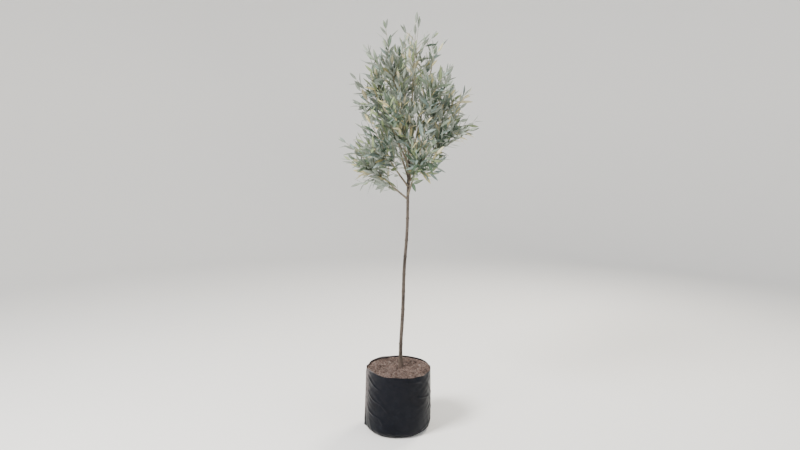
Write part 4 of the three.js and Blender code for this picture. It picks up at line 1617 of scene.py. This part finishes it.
# %% Scatter chips and crumbs over the top
SQUARE = ((-1, -1), (1, -1), (1, 1), (-1, 1))
CHIP_CORNERS = np.array([(x, y, z) for z in (-1, 1) for x, y in SQUARE]) / 2
CHIP_SIDES = [[a, (a + 1) % 4, (a + 1) % 4 + 4, a + 4] for a in range(4)]
CHIP_FACES = np.array([[0, 3, 2, 1], [4, 5, 6, 7], *CHIP_SIDES])
CRUMB_CORNERS = np.array([(1, 0, 0), (0, 1, 0), (-1, 0, 0), (0, -1, 0), (0, 0, 1), (0, 0, -1)]) / 2
CRUMB_TOP = [[a, (a + 1) % 4, 4] for a in range(4)]
CRUMB_UNDER = [[(a + 1) % 4, a, 5] for a in range(4)]
CRUMB_FACES = np.array(CRUMB_TOP + CRUMB_UNDER)
PUSHED = (-0.5, 0.35)
NARROWNESS = (0.35, 0.85)
SMALL_POWER = 2.5
TIPPING = 0.4
SETTLED = 0.1


def turned(first, second, angle):
    """Two coordinates turned by an angle, from the first towards the second."""
    along = first * np.cos(angle) - second * np.sin(angle)
    return along, first * np.sin(angle) + second * np.cos(angle)


def scattered(seed, corners, count, sizes, flatness, middle, radius):
    """Copies of a shape with corners pushed about, flattened, tipped and turned at random, and
    laid on the top of the mix within a radius of a middle. Small ones are the commonest."""
    draw = np.random.default_rng(seed)
    shape = corners[None] * (1 + draw.uniform(*PUSHED, (count, len(corners), 3)))
    size = mix(*sizes, draw.uniform(0, 1, count) ** SMALL_POWER)
    widths = [np.ones(count), draw.uniform(*NARROWNESS, count), draw.uniform(*flatness, count)]
    shape = shape * (size[:, None] * np.stack(widths, -1))[:, None]
    tilt = draw.normal(0, TIPPING, (count, 1))
    turn = draw.uniform(0, TAU, (count, 1))
    long_way, wide_way, thick_way = np.moveaxis(shape, -1, 0)
    long_way, rise = turned(long_way, thick_way, tilt)
    long_way, wide_way = turned(long_way, wide_way, turn)
    out = radius * np.sqrt(draw.uniform(0.005, 1, count))
    bearing = draw.uniform(0, TAU, count)
    x, y = middle[0] + out * np.cos(bearing), middle[1] + out * np.sin(bearing)
    height = rise + (mix_top(x, y) + SETTLED * size)[:, None]
    return np.stack([long_way + x[:, None], wide_way + y[:, None], height], -1)


CHIPS = {
    "corners": CHIP_CORNERS,
    "count": 320,
    "sizes": (3 * MM, 10 * MM),
    "flatness": (0.12, 0.3),
    "middle": (BAG_LEAN, 0),
    "radius": 138 * MM,
}
CRUMBS = {
    "corners": CRUMB_CORNERS,
    "count": 2400,
    "sizes": (1.2 * MM, 5.5 * MM),
    "flatness": (0.5, 0.9),
    "middle": (BAG_LEAN, 0),
    "radius": 138 * MM,
}
FOOT_CRUMBS = {**CRUMBS, "count": 260, "sizes": (1.5 * MM, 6 * MM), "middle": FOOT, "radius": 30 * MM}
print("chips and crumbs of each tone:", CHIPS["count"], CRUMBS["count"] + FOOT_CRUMBS["count"])

# %% [markdown]
# ## Mix finish
#
# Dry bark is matt and fibrous, brown with a little red, and patchy where water still holds.
# One wide material covers the surface, and the loose pieces come in three tones, so that
# neighbours differ as they do in a real bag.

# %% Make the mix material
DAMP_SCALE = 16.0
DAMP_EDGE = (0.44, 0.62)
DAMP_SHARE = 0.62
WETTED = 0.7
EARTH_TONES = ((0.06, 0.041, 0.034), (0.15, 0.106, 0.091), (0.23, 0.17, 0.148))


def mix_material(name, tones, scale):
    """Dry, fibrous and matt: two scales of mottle, wide damp patches and a coarse bump."""
    material, tree, shader, place = new_material(name)
    colour, _ = mottled(tree, place, tones, scale)
    damp = span(tree, noise(tree, place, DAMP_SCALE, detail=4.0), *DAMP_EDGE)
    wetted = tuple(WETTED * value for value in tones[0])
    patched = blend_colours(tree, math_node(tree, "MULTIPLY", damp, DAMP_SHARE), colour, wetted)
    tree.links.new(patched, shader.inputs["Base Color"])
    shader.inputs["Roughness"].default_value = 0.95
    shader.inputs["Specular IOR Level"].default_value = 0.15
    bump(tree, shader, noise(tree, place, 420.0, detail=8.0, roughness=0.8), distance=3 * MM)
    return material


MIX_EARTH = mix_material("mix_earth", EARTH_TONES, scale=110.0)
print(MIX_EARTH.name, "has", len(MIX_EARTH.node_tree.nodes), "nodes")

# %% Build the surface of the mix
poles = (np.array([BAG_LEAN, 0, mix_middle]), np.array([0, 0, SIDE_LEVELS[-1] * MM]))
mix_piece = wrapped_surface("mix_surface", mix_rows, poles, [MIX_EARTH], inward=True)
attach(mix_piece, "root")
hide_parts("potting_mix")
print(mix_piece.name, triangles(mix_piece), "triangles")

# %% Build the loose bark in three tones
MIX_TONES = {
    "dark": ((0.03, 0.02, 0.017), (0.066, 0.045, 0.038), (0.105, 0.073, 0.061)),
    "red": ((0.09, 0.059, 0.048), (0.155, 0.104, 0.086), (0.225, 0.16, 0.137)),
    "pale": ((0.14, 0.108, 0.094), (0.2, 0.157, 0.139), (0.27, 0.22, 0.197)),
}


def loose_piece(name, points, corner_faces, material):
    """Scattered copies joined into one mesh with flat faces."""
    count, corners, _ = points.shape
    faces = copied_faces([corner_faces], count, corners)
    piece = mesh_object(name, points.reshape(-1, 3), faces, [material])
    piece.data.polygons.foreach_set("use_smooth", np.zeros(len(piece.data.polygons), bool))
    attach(piece, "root")
    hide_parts("potting_mix")
    return piece


for number, (tone, tones) in enumerate(MIX_TONES.items()):
    finish = mix_material("bark_" + tone, tones, scale=170.0)
    crumbs = [scattered(51 + number, **CRUMBS), scattered(61 + number, **FOOT_CRUMBS)]
    chips_piece = loose_piece("chips_" + tone, scattered(41 + number, **CHIPS), CHIP_FACES, finish)
    crumbs_piece = loose_piece("crumbs_" + tone, np.concatenate(crumbs), CRUMB_FACES, finish)
    print(tone, "chips and crumbs have", triangles(chips_piece) + triangles(crumbs_piece), "triangles")

# %% [markdown]
# ## Floor and light
#
# The plant stands in the middle of a plain pale floor that turns up all round, far off, so
# no horizon shows from any side. A broad lamp above and to the left gives soft shadows that
# model the leaves, a weaker one fills the other side, a warm one from behind catches the
# edges of the leaves, and the pale world lights the rest. A sun lamp would be nearer to the
# photograph's light, but its hard shadows would hide the shape.

# %% Lay the floor
FLOOR_RADIUS = 4.5
FLOOR_TURN = 2.0
FLOOR_WALL = 4.5
FLOOR_COLUMNS = 96
FLOOR_COLOUR = (0.84, 0.83, 0.81, 1)
FLOOR_GAP = 0.2 * MM


def floor_piece():
    """A profile turned round the middle: level, then a quarter turn up, then a wall."""
    turn = np.linspace(0, math.pi / 2, 24)
    level = np.stack([np.linspace(0.5, FLOOR_RADIUS, 8), np.zeros(8)], -1)
    bend = np.stack([FLOOR_RADIUS + FLOOR_TURN * np.sin(turn), FLOOR_TURN * (1 - np.cos(turn))], -1)
    wall = [[FLOOR_RADIUS + FLOOR_TURN, FLOOR_WALL]]
    profile = np.concatenate([level, bend[1:], wall])
    bearing = ring_bearings(FLOOR_COLUMNS)
    out, height = profile[:, :1], np.repeat(profile[:, 1:], FLOOR_COLUMNS, 1)
    grid = np.stack([out * np.cos(bearing), out * np.sin(bearing), height], -1)
    quads, middle, _ = grid_faces(len(profile), FLOOR_COLUMNS, inward=True)
    points = np.concatenate([grid.reshape(-1, 3), [[0.0, 0.0, 0.0]]])
    points[:, 2] -= FLOOR_GAP
    material, _, shader, _ = new_material("studio_floor")
    shader.inputs["Base Color"].default_value = FLOOR_COLOUR
    shader.inputs["Roughness"].default_value = 0.9
    return mesh_object("studio_floor", points, [quads, middle], [material])


floor = floor_piece()
print(floor.name, "is", 2 * (FLOOR_RADIUS + FLOOR_TURN), "metres across")

# %% Hang the lamps and set the world
SKY_COLOUR = (0.86, 0.89, 0.93, 1)
SKY_STRENGTH = 0.68


def soft_lamp(name, place, target, size, power, colour):
    """A square area lamp that faces a target."""
    data = bpy.data.lights.new(name, "AREA")
    data.shape = "SQUARE"
    data.size = size
    data.energy = power
    data.color = colour
    lamp = bpy.data.objects.new(name, data)
    bpy.context.scene.collection.objects.link(lamp)
    lamp.location = place
    x, y, z = np.array(target) - np.array(place)
    lamp.rotation_euler = (math.atan2(math.hypot(x, y), -z), 0, math.atan2(y, x) - math.pi / 2)


soft_lamp("key", (-2.4, -1.9, 3.4), (0, 0, 1.0), size=1.3, power=370, colour=(1.0, 0.985, 0.96))
soft_lamp("fill", (2.8, -1.6, 1.8), (0, 0, 0.8), size=2.4, power=40, colour=(0.95, 0.975, 1.0))
soft_lamp("back", (1.8, 2.2, 3.0), (0, 0, 1.3), size=1.2, power=150, colour=(1.0, 0.93, 0.8))
world = bpy.data.worlds.new("studio")
bpy.context.scene.world = world
world.use_nodes = True
sky = world.node_tree.nodes["Background"]
sky.inputs["Color"].default_value = SKY_COLOUR
sky.inputs["Strength"].default_value = SKY_STRENGTH
print("lamps:", [lamp.name for lamp in bpy.data.lights])
